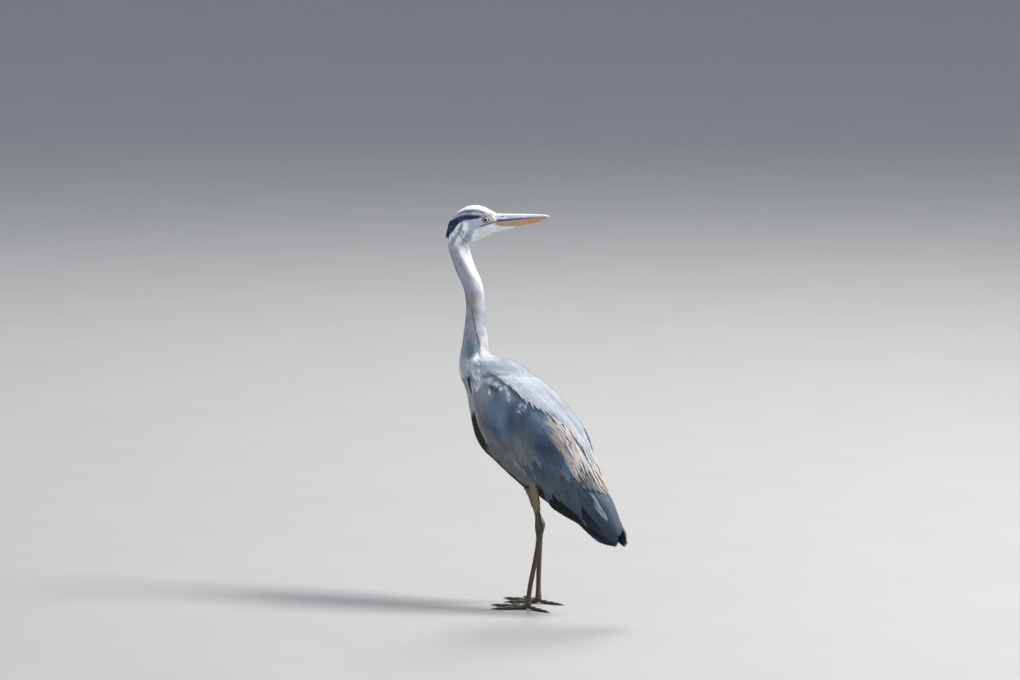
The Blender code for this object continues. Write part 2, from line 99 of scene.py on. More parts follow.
HEAD_TURN = -165  # degrees round from the breast
HEAD_EYES = (-16, -118, 763)  # the point between the eyes
HEAD = (  # forward, top, bottom, half width
    (-82, -15, -29, 5),
    (-77, -5, -37, 11),
    (-69, 6, -43, 15),
    (-58, 16, -48, 17),
    (-44, 23.5, -49, 18.3),
    (-28, 26.5, -45.5, 18.8),
    (-14, 25.5, -40, 18.2),
    (-2, 21.5, -34.5, 16.2),
    (8, 16.5, -29.5, 13.2),
    (18, 12, -25.5, 10),
)
HEAD_REAR = HEAD[0][0]
HEAD_FRONT = HEAD[-1][0]
HEAD_MIDDLE = -3  # height of the widest level
EYE_RADIUS = 8.3
EYE_PLACE = (0, 9.6, 0)  # forward, left and up from between the eyes
CREST = (  # forward and up
    (-62, 8), (-72, 0), (-79, -12), (-83.5, -26), (-86, -41),
)

BILL_LENGTH = 110
BILL = (  # share of its length, half width, heights of the ridge, the mouth line and the lower edge
    (0, 8.6, 11, -4.2, -16.5),
    (0.2, 7, 11.6, -1.6, -14.6),
    (0.4, 5.4, 12.2, 1.2, -11.8),
    (0.6, 3.9, 12.6, 4.2, -7.2),
    (0.8, 2.4, 12.5, 7, -1.5),
    (0.93, 1.4, 11.7, 8.5, 4.4),
    (1, 0.6, 10, 9.3, 8.6),
)
CHIN_FEATHERS = (  # forward, lower edge and half width of the feathering under the bill
    (12, -28, 8),
    (18, -25.5, 7.5),
    (37, -21.2, 5.6),
    (53, -16.3, 3.6),
    (61, -13.3, 2),
)

# Along the spine, in mm from the wing tips
WING_FRONT = 438
WING_REAR = 88
FLIGHT_FRONT = 205
PRIMARY_ROOT = 190.0
TRUNK_TAIL = 112
TRUNK_ROUNDS = 165
TAIL_TIP = 18

WING_THICKNESS = (1.4, 13)  # at the wing's edge and in its middle
UNDER_FLIGHTS = 6.2  # how much lower the rump lies where the flight feathers cover it
TAIL_STEP = 20  # how much shorter the outermost tail feathers are
TAIL_DROP = (35, 16)  # below the spine, at the tail's root and tip
TAIL_ARCH = (0, 14)
TAIL_HALF_WIDTH = (17, 14)
GAP = 0.3  # between solids
VANE_END = 0.985  # share of a feather at which its vane is closed off

LEGS = {  # foot, heel and knee
    "left": ((33, 9.4), (33, 34.7, 165), (27, 8, 330)),
    "right": ((-33, -9.6), (-33, -3.5, 160), (-27, -68, 330)),
}
ANKLE_HEIGHT = 12
BARE_SHARE = 0.27  # of the shank, above the heel
THIGH_RADII = (7, 25)  # above the bare skin and at the knee
SHANK_RADIUS = 5.4
HEEL_RADIUS = 8.4
HEEL_LENGTH = 15
TARSUS_RADIUS = 4.8
TOES = {  # heading in degrees out from straight ahead, length and radius
    "inner": (-26, 56, 4.2),
    "middle": (3, 74, 4.5),
    "outer": (33, 62, 4.2),
    "hind": (172, 44, 4.0),
}
TOE_SINK = 0.5  # how much each toe is flattened onto the floor
CLAW_LENGTH = 13
CLAW_RADIUS = 2.3
SIDES = {"left": 1, "right": -1}


def srgb(red, green, blue):
    """A colour from 0 to 255 per channel, as linear light."""
    value = np.array([red, green, blue]) / 255
    return np.where(value < 0.04045, value / 12.92, ((value + 0.055) / 1.055) ** 2.4)


LAVENDER = srgb(172, 178, 188)
BLUE_GREY = srgb(112, 130, 150)
SLATE = srgb(76, 93, 112)
TAUPE = srgb(112, 113, 114)
BEIGE = srgb(198, 182, 170)
CREAM = srgb(234, 228, 212)
WHITE = srgb(236, 237, 238)
CHEEK = srgb(190, 197, 212)
MAUVE = srgb(160, 163, 176)
SMUDGE = srgb(150, 138, 132)
NAVY = srgb(30, 42, 60)
BLACK = srgb(17, 22, 30)
LORE = srgb(186, 190, 158)
THIGH = srgb(118, 110, 90)
BILL_SIDE = srgb(198, 206, 226)
BILL_RIDGE = srgb(222, 224, 230)
BILL_TIP = srgb(232, 228, 214)
BILL_TAN = srgb(182, 153, 124)
BILL_ORANGE = srgb(212, 142, 100)


# ---------------------------------------------------------------- curves and surfaces


def through(knots, rows, at):
    """The natural cubic spline through one row for each knot, read at the places given."""
    knots, rows, at = (np.asarray(value, float) for value in (knots, rows, at))
    step = np.diff(knots)
    slope = np.diff(rows, axis=0) / step[:, None]
    system = np.eye(len(knots))
    right = np.zeros_like(rows)
    for i in range(1, len(knots) - 1):
        system[i, i - 1 : i + 2] = step[i - 1], 2 * (step[i - 1] + step[i]), step[i]
        right[i] = 6 * (slope[i] - slope[i - 1])
    bend = np.linalg.solve(system, right)
    cell = np.clip(np.searchsorted(knots, at) - 1, 0, len(knots) - 2)
    u = (at - knots[cell])[..., None]
    width = step[cell][..., None]
    first, last = bend[cell], bend[cell + 1]
    start = slope[cell] - width * (2 * first + last) / 6
    return rows[cell] + u * start + u**2 * first / 2 + u**3 * (last - first) / (6 * width)


def table_at(table, at):
    """A table's other columns as splines over its first, read at the places given."""
    rows = np.array(table, float)
    return np.moveaxis(through(rows[:, 0], rows[:, 1:], np.clip(at, rows[0, 0], rows[-1, 0])), -1, 0)


def line_at(line, at):
    """The second value of a line's corners, straight between them, where the first is as given."""
    return np.interp(at, *zip(*line))


def steps_along(path):
    """The distance along a path to each of its points."""
    return np.concatenate([[0], np.cumsum(np.linalg.norm(np.diff(path, axis=0), axis=1))])


def ease(value):
    """0 below 0, 1 above 1, and the smooth step v v (3 - 2 v) between."""
    value = np.clip(value, 0, 1)
    return value * value * (3 - 2 * value)


def beyond(value, start, over):
    """A mask that rises from 0 at the start to 1 at that distance past it."""
    return ease((value - start) / over)


def before(value, end, over):
    """A mask that falls from 1 at that distance short of the end to 0 at it."""
    return ease((end - value) / over)


def mix(a, b, share):
    """The value that share of the way from a to b: a + (b - a) share."""
    return a + (b - a) * share


def unit(direction):
    """A direction, or rows of them, at length 1."""
    return direction / np.linalg.norm(direction, axis=-1, keepdims=True)


def circle(count):
    """Angles once round, in radians."""
    return np.linspace(0, 2 * math.pi, count + 1)[:-1]


def flat(colour, like):
    """One colour for each place of an array."""
    return np.tile(colour, (*np.shape(like), 1))


def blend(colour, other, mask):
    """Colours moved towards another by a mask: c + (other - c) m."""
    return mix(np.asarray(colour), np.asarray(other), np.asarray(mask)[..., None])


def blob(a, b, at_a, at_b, size_a, size_b):
    """A soft spot, 1 in its middle: exp of minus the squared distance in its own radii."""
    return np.exp(-(((a - at_a) / size_a) ** 2) - (((b - at_b) / size_b) ** 2))


SPINE_ROWS = np.array(list(SPINE.values()), float)
SPINE_KNOTS = steps_along(SPINE_ROWS[:, :2])
ALONG = dict(zip(SPINE, SPINE_KNOTS))


def off_spine(out, up, y, z, pitch):
    """A point out to the side and up, square to the spine, from one of its points."""
    pitch = np.radians(pitch)
    return np.stack([out, y + up * np.sin(pitch), z + up * np.cos(pitch)], -1)


def body_point(along, angle, grow=0.0, taper=1.0):
    """A point of the body: distance from the wing tips, and degrees round from the back (+ is left).

    The section across the spine is a superellipse: out = (side + grow) sin^p, up = (depth + grow)
    cos^p, with depth the back's radius above and the belly's below, and p = 2 / SECTION_POWER.
    """
    along, angle = np.broadcast_arrays(np.asarray(along, float), np.radians(angle))
    y, z, pitch, back, belly, side = np.moveaxis(through(SPINE_KNOTS, SPINE_ROWS, along), -1, 0)
    cosine, sine = np.cos(angle), np.sin(angle)
    power = 2 / SECTION_POWER
    depth = np.where(cosine > 0, back, belly) * taper + grow
    up = depth * np.sign(cosine) * np.abs(cosine) ** power
    out = (side * taper + grow) * np.sign(sine) * np.abs(sine) ** power
    return off_spine(out, up, y, z, pitch)


def flight_edge(along):
    """Lower edge of the folded flight feathers, in degrees round from the back."""
    lower = mix(136.0, 146.0, beyond(along, 40, 60))
    return mix(lower, 108.0, beyond(along, 155, 45))


def wing_edges(along):
    """Upper and lower edge of the folded wing, in degrees round from the back."""
    forward = beyond(along, 300, 140)
    clear = np.degrees(0.9 / np.interp(along, SPINE_KNOTS, SPINE_ROWS[:, 5]))
    upper = mix(clear, 34.0, forward**1.5)
    rearward = ease((ALONG["hips"] - along) / 120)
    lower = mix(mix(127.0, 112.0, forward), 112.0, rearward)
    return upper, lower


def wing_height(along, angle):
    """How far the folded wing stands off the body: thickest in its middle, 0 past its edges.

    Its thickness is (sin across sin along)^0.6 of the full one, and thins out over the flight
    feathers. Its front and rear edges are bowed by powers of the share across it.
    """
    angle = np.abs(angle)
    upper, lower = wing_edges(along)
    across = (angle - upper) / (lower - upper)
    inside = np.clip(across, 0, 1)
    front = WING_FRONT - 44 * np.abs(2 * inside - 1.15) ** 2.4
    rear = WING_REAR + 70 * inside**1.3
    share = (front - along) / (front - rear)
    kept = np.clip(share, 0, 1)
    edge = (np.sin(math.pi * inside) * np.sin(math.pi * np.clip(kept * 2.2, 0, 0.5))) ** 0.6
    thick = mix(*WING_THICKNESS, edge * mix(1, 0.12, beyond(kept, 0.45, 0.55)))
    fade = ease(1 + share * 8) * ease(1 + (1 - share) * 6) * ease(1 + (1 - across) * 8)
    return (thick + GAP) * fade * ease(1 + across * 12)


def plumage_point(along, angle, height):
    """A point over the body and the folded wings, that height above the solids.

    Past the flight feathers' lower edge it drops onto the rump, which lies lower and rounds off over
    the tail as sqrt(1 - 0.85 share^2).
    """
    below = ease((np.abs(angle) - flight_edge(along) - 2) / 5) * ease((FLIGHT_FRONT + 32 - along) / 20)
    share = np.clip((TRUNK_ROUNDS - along) / (TRUNK_ROUNDS - TRUNK_TAIL), 0, 1)
    taper = mix(1, np.sqrt(1 - 0.85 * share**2), below)
    return body_point(along, angle, wing_height(along, angle) + height - UNDER_FLIGHTS * below, taper)


def head_axes():
    """Unit vectors ahead of the bill, to the head's left and up."""
    turn = math.radians(HEAD_TURN - 90)
    forward = np.array([math.cos(turn), math.sin(turn), 0])
    up = np.array([0, 0, 1.0])
    return forward, np.cross(up, forward), up


def head_place(forward, left, up):
    """A point of the head, from its distances forward, left and up from between the eyes."""
    parts = np.broadcast_arrays(forward, left, up)
    return np.array(HEAD_EYES) + sum(p[..., None] * axis for p, axis in zip(parts, head_axes()))


def head_coordinates(point):
    """Forward, left and up from between the eyes, of points of the bird."""
    return np.stack([(point - np.array(HEAD_EYES)) @ axis for axis in head_axes()], 0)


def head_section(forward):
    """Top, widest level, bottom and half width of the head, that far ahead of the eyes."""
    top, bottom, half = table_at(HEAD, forward)
    return top, np.clip(HEAD_MIDDLE, bottom + 4, top - 4), bottom, half


def head_point(forward, angle, height):
    """A point of the head: distance ahead of the eyes, degrees round from the crown (+ is left).

    The section is a half ellipse above its widest level and one below, which narrows downwards:
    out = (half + height) sin (1 - 0.22 down), up = middle + (reach + height) cos.
    """
    forward, angle, height = np.broadcast_arrays(forward, np.radians(angle), height)
    top, middle, bottom, half = head_section(forward)
    rise = np.cos(angle)
    reach = np.where(rise > 0, top - middle, middle - bottom)
    out = (half + height) * np.sin(angle) * (1 - 0.22 * np.clip(-rise, 0, 1))
    return head_place(forward, out, middle + (reach + height) * rise)


def bill_profile(forward):
    """Half width, ridge, mouth line and lower edge of the bill, that far ahead of the eyes."""
    return table_at(BILL, (forward - HEAD_FRONT - GAP) / BILL_LENGTH)


def chin_point(back, angle, height):
    """A point of the feathering under the bill, -back ahead of the eyes and round from its underside.

    Across it is half an ellipse that hangs under the lower mandible.
    """
    back, angle, height = np.broadcast_arrays(back, np.radians(angle), height)
    forward = np.clip(-back, CHIN_FEATHERS[0][0], CHIN_FEATHERS[-1][0])
    bottom, half = table_at(CHIN_FEATHERS, forward)
    top = bill_profile(forward)[3] - GAP
    out = (half + height) * np.sin(angle)
    return head_place(-back, out, mix(top, bottom - height, np.cos(angle)))


def leg_lines(side):
    """Ankle, heel, top of the bare skin and knee of one leg."""
    foot, heel, knee = (np.array(value, float) for value in LEGS[side])
    ankle = np.array([*foot, ANKLE_HEIGHT])
    return ankle, heel, mix(heel, knee, BARE_SHARE), knee


def thigh_colour(up, length):
    """Olive-tan above the bare leg, and the flank's taupe from the middle of the thigh upwards."""
    return blend(THIGH, TAUPE * 0.72, ease((up - 0.3 * length) / (0.35 * length)))


def thigh_point(side):
    """A function for points of one feathered thigh: distance above the bare skin, angle, height."""
    _, _, low, knee = leg_lines(side)
    axis = unit(knee - low)
    across = unit(np.cross(axis, [0, 1.0, 0]))
    ahead = np.cross(axis, across)
    length = np.linalg.norm(knee - low)

    def point(along, angle, height):
        """low + axis along + the radius there, turned by the angle; the radius grows as share^1.3."""
        along, angle, height = np.broadcast_arrays(along, np.radians(angle), height)
        radius = mix(*THIGH_RADII, np.clip(along / length, 0, 1) ** 1.3) + height
        round_axis = across * np.cos(angle)[..., None] + ahead * np.sin(angle)[..., None]
        return low + axis * along[..., None] + round_axis * radius[..., None]

    return point, length


# ---------------------------------------------------------------- meshes


def add_object(name, data):
    """A new object in the scene."""
    made = bpy.data.objects.new(name, data)
    bpy.context.scene.collection.objects.link(made)
    return made


def make_piece(name, points, quads, triangles, material, slot, tint, uvs=None, stands_for=(),
               rim=None):
    """A piece from points in mm and arrays of faces, with its tint and UV given for each point.

    Edges between two points of the rim are sharp, so that a thin vane isn't shaded like a rod.
    """
    points = np.asarray(points, float).reshape(-1, 3)
    mesh = bpy.data.meshes.new(name)
    mesh.vertices.add(len(points))
    mesh.vertices.foreach_set("co", ((points + ORIGIN) * MM).astype(np.float32).ravel())
    quads = np.asarray(quads, int).reshape(-1, 4)
    triangles = np.asarray(triangles, int).reshape(-1, 3)
    corners = np.concatenate([quads.ravel(), triangles.ravel()])
    starts = np.cumsum([0] + [4] * len(quads) + [3] * len(triangles))[:-1]
    mesh.loops.add(len(corners))
    mesh.loops.foreach_set("vertex_index", corners.astype(np.int32))
    mesh.polygons.add(len(starts))
    mesh.polygons.foreach_set("loop_start", starts.astype(np.int32))
    mesh.update(calc_edges=True)
    for layer, value in (uvs or {}).items():
        made = mesh.uv_layers.new(name=layer)
        made.data.foreach_set("uv", value.reshape(-1, 2)[corners].astype(np.float32).ravel())
    rgba = np.ones((len(points), 4), np.float32)
    rgba[:, :3] = np.clip(tint.reshape(-1, 3), 0, 1)
    mesh.color_attributes.new("Tint", "FLOAT_COLOR", "POINT").data.foreach_set("color", rgba.ravel())
    mesh.shade_smooth()
    if rim is not None:
        ends = np.empty(2 * len(mesh.edges), np.int32)
        mesh.edges.foreach_get("vertices", ends)
        sharp = rim.ravel()[ends.reshape(-1, 2)].all(1)
        mesh.attributes.new("sharp_edge", "BOOLEAN", "EDGE").data.foreach_set("value", sharp)
    mesh.materials.append(material)
    obj = add_object(name, mesh)
    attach(obj, "root")
    if stands_for:
        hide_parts(*stands_for)
    return obj


def ring_faces(rows, around, count=1):
    """Quads of the walls of closed tubes: rows of points, each row a ring."""
    row, step = np.meshgrid(np.arange(rows - 1), np.arange(around), indexing="ij")
    here, after = row * around + step, row * around + (step + 1) % around
    one = np.stack([here, after, after + around, here + around], -1).reshape(-1, 4)
    shift = np.arange(count)[:, None, None] * rows * around
    return (one[None] + shift).reshape(-1, 4)


def cap_faces(rows, around, count=1):
    """Flat ends for rings that run out along one face and back along the other: quads and triangles."""
    half = around // 2
    steps = np.arange(1, half - 1)
    quads = np.stack([steps, steps + 1, around - steps - 1, around - steps], -1)
    tips = np.array([[0, 1, around - 1], [half - 1, half, half + 1]])
    last = (rows - 1) * around
    shift = np.arange(count)[:, None, None] * rows * around
    quads = np.concatenate([quads[:, ::-1], quads + last])
    tips = np.concatenate([tips[:, ::-1], tips + last])
    return (quads[None] + shift).reshape(-1, 4), (tips[None] + shift).reshape(-1, 3)


def fan_faces(rows, around):
    """Triangles that close both ends of a tube onto a point added after its rings at each end."""
    step = np.arange(around)
    after = (step + 1) % around
    last = (rows - 1) * around
    first_point = np.full(around, rows * around)
    start = np.stack([after, step, first_point], -1)
    end = np.stack([last + step, last + after, first_point + 1], -1)
    return np.concatenate([start, end])


def with_ends(rows):
    """Values at the rings of a tube, then the mean of its first ring and of its last."""
    return np.concatenate([rows.reshape(-1, rows.shape[-1]), rows[[0, -1]].mean(1)])


def shell(rings):
    """Points and faces of a closed tube through rings, each end closed onto its ring's middle."""
    rows, around = rings.shape[:2]
    return with_ends(rings), ring_faces(rows, around), fan_faces(rows, around)


def closed_tube(name, rings, material, slot, tint, stands_for, uv=None):
    """A piece that is one closed tube."""
    uvs = {} if uv is None else {"Lie": with_ends(uv)}
    make_piece(name, *shell(rings), material, slot, with_ends(tint), uvs, stands_for)


# ---------------------------------------------------------------- feathers


class Tract:
    """Arrays that describe feathers: their roots, sizes, lie, heights and colours.

    Turn is the lie's angle in degrees. Low and high are the heights of base and tip. Camber bows the
    vane, tilt lifts one side of it and sweep bends its tip aside, all in mm.
    """

    def __init__(self, place, a, b, length, width, turn=0.0, low=-1.5, high=0.0, camber=0.35,
                 tilt=0.0, sweep=0.0, thick=0.25, spread=0.5):
        self.place = place
        self.a, self.b = (np.asarray(value, float).ravel() for value in (a, b))
        self.length, self.width, self.turn, self.low, self.high = map(
            self.each, (length, width, turn, low, high))
        self.camber, self.tilt, self.sweep, self.thick, self.spread = map(
            self.each, (camber, tilt, sweep, thick, spread))

    def each(self, value):
        """A value for every feather."""
        return np.broadcast_to(np.asarray(value, float).ravel(), self.a.shape)

    def paint(self, *colours):
        """Colours at the feather's base, at its tip and along its edges."""
        self.base, self.tip, self.edge = (
            np.broadcast_to(colour, (len(self.a), 3))[:, None, None] for colour in colours)


def metric(place, a, b):
    """Millimetres for a unit of a and a unit of b at places on a surface, by small differences."""
    along = np.linalg.norm(place(a + 1, b, 0.0) - place(a - 1, b, 0.0), axis=-1) / 2
    round_it = np.linalg.norm(place(a, b + 1, 0.0) - place(a, b - 1, 0.0), axis=-1) / 2
    return np.maximum(along, 0.25), np.maximum(round_it, 0.05)


QUILL_WIDTH = 0.45  # share of the full width at the quill


def vane_width(t, blunt):
    """Half width along a vane: it opens from the quill, then closes as (1 - t^k)^m."""
    power = mix(1.5, 5.0, blunt)
    close = mix(0.9, 0.5, blunt)
    return mix(QUILL_WIDTH, 1, ease(t / 0.35)) * (1 - t**power) ** close


def feather_mesh(name, tract, material, slot, rows=5, columns=3, blunt=0.6, ragged=0.0, seed=1,
                 patch=0.003, unwrap=None):
    """Closed thin vanes, laid over a surface.

    Each vane is a grid of rows along and columns across. Its places on the surface are the root's
    plus t L along the lie and w p(t) W / 2 across it, turned by the feather's own angle. Its height
    rises from low to high as t^0.8, less camber w^2, plus tilt w. The underside is the same grid
    lower by the thickness, and both share the rim. Spread says how far the width keeps its
    millimetres where the surface narrows.
    """
    rng = np.random.default_rng(seed)
    count = len(tract.a)
    t = np.linspace(0, VANE_END, rows) ** 0.9
    across = np.linspace(-1, 1, columns)
    ring = np.concatenate([across, across[-2:0:-1]])
    under = np.concatenate([np.zeros(columns), np.ones(columns - 2)])
    half = tract.width[:, None] / 2 * vane_width(t, blunt)[None]
    half = (half * (1 + ragged * rng.uniform(-1, 1, half.shape)))[..., None]
    w, down, t = ring[None, None, :], under[None, None, :], t[None, :, None]
    root_a, root_b, length, turn, low, high, camber, tilt, sweep, thick, spread = (
        value[:, None, None] for value in (
            tract.a, tract.b, tract.length, np.radians(tract.turn), tract.low, tract.high,
            tract.camber, tract.tilt, tract.sweep, tract.thick, tract.spread))
    side = half * w
    forth = length * t - 0.25 * np.abs(side) * (1 - blunt)
    side = side + sweep * t**2
    metric_a, metric_b = (value[:, None, None] for value in metric(tract.place, tract.a, tract.b))
    a = root_a - (forth * np.cos(turn) - side * np.sin(turn)) / metric_a
    rate = metric(tract.place, a[:, :, :1], root_b)[1]
    b = root_b + forth * np.sin(turn) / mix(metric_b, rate, 0.5)
    b = b + side * np.cos(turn) / mix(metric_b, rate, spread)
    height = mix(low, high, t**0.8) - camber * w**2 * half / 4 + tilt * w - down * thick
    points = tract.place(a, b, height)

    share = np.broadcast_to(t, points.shape[:-1])
    rim = np.broadcast_to(np.abs(w) ** 3, points.shape[:-1])
    tint = mix(tract.base, tract.tip, share[..., None] ** 1.5)
    tint = mix(tint, tract.edge, (rim * 0.85)[..., None])
    lie = np.stack([np.broadcast_to(w * 0.5 + 0.5, share.shape), share], -1)
    if unwrap is None:
        roots = np.stack([tract.b, tract.a], -1)
        centre = 0.01 + 0.975 * (roots - roots.min(0)) / (roots.max(0) + 1e-6 - roots.min(0))
        size = np.array([patch, patch])
    else:
        centre, size = unwrap(count)
    bake = centre[:, None, None] + lie * size
    around = 2 * columns - 2
    cap_quads, cap_triangles = cap_faces(rows, around, count)
    at_rim = np.broadcast_to((np.abs(ring) == 1)[None, None], points.shape[:-1]).copy()
    at_rim[:, -1] = True
    quads = np.concatenate([ring_faces(rows, around, count), cap_quads])
    make_piece(name, points, quads, cap_triangles, material, slot, tint,
               {"OFBake": bake, "Lie": lie}, rim=at_rim)


def strips(count):
    """Places for the patches of a few large feathers: side by side across the square."""
    centre = np.stack([(np.arange(count) + 0.08) / count, np.full(count, 0.02)], -1)
    return centre, np.array([0.84 / count, 0.96])


def scatter(place, a_range, edges, spacing, seed):
    """Roots in staggered rows over a patch of a surface, with a little seeded disorder.

    Edges are the patch's limits in b, or a function that gives them for an a.
    """
    rng = np.random.default_rng(seed)
    step_a, step_b = spacing
    rows_a, rows_b = [], []
    a, number = a_range[1], 0
    while a > a_range[0]:
        low, high = edges(a) if callable(edges) else edges
        middle = np.array([(low + high) / 2])
        per_a, _ = metric(place, np.array([a]), middle)
        probe = np.linspace(low, high, 40)
        rate = metric(place, np.full(40, a), probe)[1]
        arc = np.concatenate([[0], np.cumsum((rate[1:] + rate[:-1]) / 2 * np.diff(probe))])
        count = max(int(arc[-1] / step_b), 1)
        marks = (np.arange(count) + (0.25 if number % 2 else 0.75)) * step_b
        marks = marks + rng.uniform(-0.22, 0.22, count) * step_b
        rows_b.append(np.interp(marks, arc, probe))
        rows_a.append(a + rng.uniform(-0.3, 0.3, count) * step_a / per_a[0])
        a -= step_a / per_a[0]
        number += 1
    return np.concatenate(rows_a), np.concatenate(rows_b)


def varied(colour, count, seed, amount=0.12):
    """A colour for each feather, brighter or darker by a seeded share."""
    rng = np.random.default_rng(seed)
    return np.asarray(colour) * (1 + amount * rng.uniform(-1, 1, (count, 1)))


# ---------------------------------------------------------------- markings


CAPE_EDGE = (  # along, and degrees round from the back
    (150, 6), (173, 9), (197, 12), (215, 17), (245, 23), (270, 32), (295, 36), (319, 39), (340, 42),
    (361, 44), (382, 48), (399, 54), (426, 55), (437, 57), (447, 64), (456, 80), (463, 88), (487, 90),
)
# Lines on the head: forward, and up or down in mm
NAPE_EDGE = ((-80, -42), (-75, -35), (-69, -29), (-61, -18), (-53, -8), (-45, -4))
THROAT_EDGE = ((-36, -47), (-29, -34), (-21, -19), (3, -10), (19, -6))
CROWN_RIM = ((-75, 2), (-60, 4), (-45, 6.5), (-25, 7.5), (-5, 6), (5, 5), (14, 4))  # below the top
BROW = ((-60, 0), (-8, 6), (4, 4), (18, 1))
BAND_MIDDLE = ((-82, -24), (-70, -15), (-61, -7), (-53, -1), (-45, 2.7), (-29, 4.2), (-13, 5.6), (-4, 8.5))
BAND_HALF = ((-80, 17), (-70, 14), (-61, 10), (-53, 8), (-45, 7), (-29, 6), (-13, 5), (-5, 2))
GAPE_LINE = ((-14, -14.5), (-4, -11.5), (6, -8), (18, -4.8))
JAW_WEDGE = ((18, 86), (22, 76), (30, 50), (36, 26), (40, 2))  # degrees round from the underside


def cape_edge(along):
    """Lower edge of the mantle's pale cape, in degrees round from the back: the line of its fringe."""
    return line_at(CAPE_EDGE, along)


def wrap(angle):
    """The same angle, from -180 to 180 degrees."""
    return (angle + 180) % 360 - 180


def hind_line(along):
    """Where the hind neck's midline runs: the neck turns from its root to the head."""
    share = (along - ALONG["neck_root"] + 8) / (ALONG["neck_top"] - ALONG["neck_root"])
    return -HEAD_TURN * np.clip(share, 0, 1)


def patchy(a, b, scale, seed):
    """A smooth uneven value, mostly from -1 to 1: seeded waves across the surface, added up."""
    rng = np.random.default_rng(seed)
    total = 0
    for _ in range(7):
        turn, phase = rng.uniform(0, math.pi), rng.uniform(0, 2 * math.pi)
        size = scale * rng.uniform(0.55, 1.7)
        total = total + np.sin((a * math.cos(turn) + b * math.sin(turn)) / size + phase)
    return total / 2.8


def nape_band(point):
    """The dark band from behind the eye where it runs down over the nape, 1 inside it."""
    forward, _, up = head_coordinates(point)
    return ease((up - line_at(NAPE_EDGE, forward)) / 2.5) * before(forward, -46, 4)


def neck_colour(along, angle):
    """Blue-grey behind, white in front with two dark broken lines, and a thin line down the nape."""
    turned = wrap(angle - hind_line(along))
    from_hind = np.abs(turned)
    upper = beyond(along, 600, 90)
    hind = blend(BLUE_GREY * 0.85, MAUVE, beyond(along, 522, 40))
    hind = blend(hind, LAVENDER, 0.3 * upper)
    side = ease((from_hind - mix(40, 62, upper)) / 60)
    colour = blend(hind, LAVENDER * mix(0.84, 1, upper)[..., None], side)
    edge = mix(96, 74, upper) + 5 * patchy(along, turned, 8, 6)
    front = ease((from_hind - edge) / mix(30, 34, upper)) * (1 - 0.7 * beyond(along, 722, 16))
    colour = blend(colour, WHITE, front * mix(0.75, 1, upper))
    brown = ease(0.5 + 0.9 * patchy(along, turned * 0.3, 5, 3)) * blob(along, turned, 632, -10, 46, 75)
    colour = blend(colour, SMUDGE, 0.8 * brown)
    # painted shadow: a soft darker patch on the neck's middle stretch
    colour = colour * mix(1, 0.82, blob(along, turned, 590, -30, 40, 90))[..., None]
    mottle = patchy(along * 0.5, turned * 0.4, 2.4, 4)
    colour = colour * (1 + 0.10 * mottle * before(from_hind, 150, 60))[..., None]
    line = ease(1 - from_hind / 6) * beyond(along, 512, 20) * before(along, 612, 20)
    colour = blend(colour, BLACK, 0.8 * line)
    dashes = ease(np.sin(along / 3.4) * 2 + 0.6) * ease(1 - np.abs(from_hind - 152) / 11)
    colour = blend(colour, BLACK, 0.9 * dashes * before(along, 690, 40))
    pale = ease((44 - np.abs(angle + 8)) / 12) * before(along, 556, 24)
    colour = blend(colour, mix(CREAM, LAVENDER, 0.45) * 0.9, 0.85 * pale * (0.8 + 0.2 * mottle))
    size = np.abs(angle)
    colour = blend(colour, LAVENDER * 0.9, 0.7 * before(along, 508, 14) * before(size, 70, 30))
    collar = ease(1.6 - np.abs(along - 520 + 0.36 * size) / 5)
    colour = blend(colour, WHITE, 0.85 * collar * beyond(size, 40, 8) * before(size, 98, 10))
    place = body_point(along, angle)
    colour = blend(colour, head_colour(place), beyond(along, 714, 22))
    return blend(colour, NAVY * 1.3, nape_band(place))


SHOULDER_MARKS = (  # along, angle, size along, size round, colour; painted in this order
    # The first five rows are painted shade in the hollow under the cape's front; the rest are the tufts
    # and the dark marks among them.
    (450, 66, 10, 8, BLUE_GREY * 0.6), (436, 60, 10, 4.5, BLUE_GREY * 0.55),
    (420, 59, 10, 4, BLUE_GREY * 0.45), (407, 58, 7, 3.5, SLATE * 0.8), (444, 73, 5, 5, BLUE_GREY * 0.75),
    (471, 92, 7, 6, SLATE), (459, 97, 7, 5, NAVY * 1.6),
    (466, 74, 4, 3.5, WHITE), (456, 80, 6, 3, WHITE), (446, 79, 5, 2, WHITE), (462, 84, 5, 4, CHEEK),
    (441, 76, 5, 4, CHEEK * 0.9), (427, 68, 7, 4, CHEEK), (414, 64, 6, 4, CHEEK),
    (406, 62, 4, 3, CHEEK), (411, 71, 6, 3.5, NAVY * 1.7), (401, 66, 4, 3, NAVY * 1.5),
    (433, 88, 3, 3, WHITE * 0.9), (406, 76, 3, 2, WHITE), (384, 63, 6, 3, BLUE_GREY),
    (395, 61, 3, 2, WHITE), (389, 56, 4, 2.5, CHEEK), (375, 57, 6, 2, CHEEK * 0.9),
    (366, 61, 5, 2, CHEEK * 0.9), (331, 59, 2.5, 2, CHEEK),
)


def shoulder_marks(colour, along, angle):
    """Painted shade in the hollow under the cape's front, the tufts below it and the dark line beside the
    neck.
    """
    for *spot, mark in SHOULDER_MARKS:
        colour = blend(colour, mark, np.clip(1.3 * blob(along, angle, *spot), 0, 0.85))
    line = ease(1.5 - np.abs(angle - 104 - 0.3 * (452 - along)) / 4)
    return blend(colour, BLACK, line * before(along, 466, 6) * beyond(along, 428, 6))


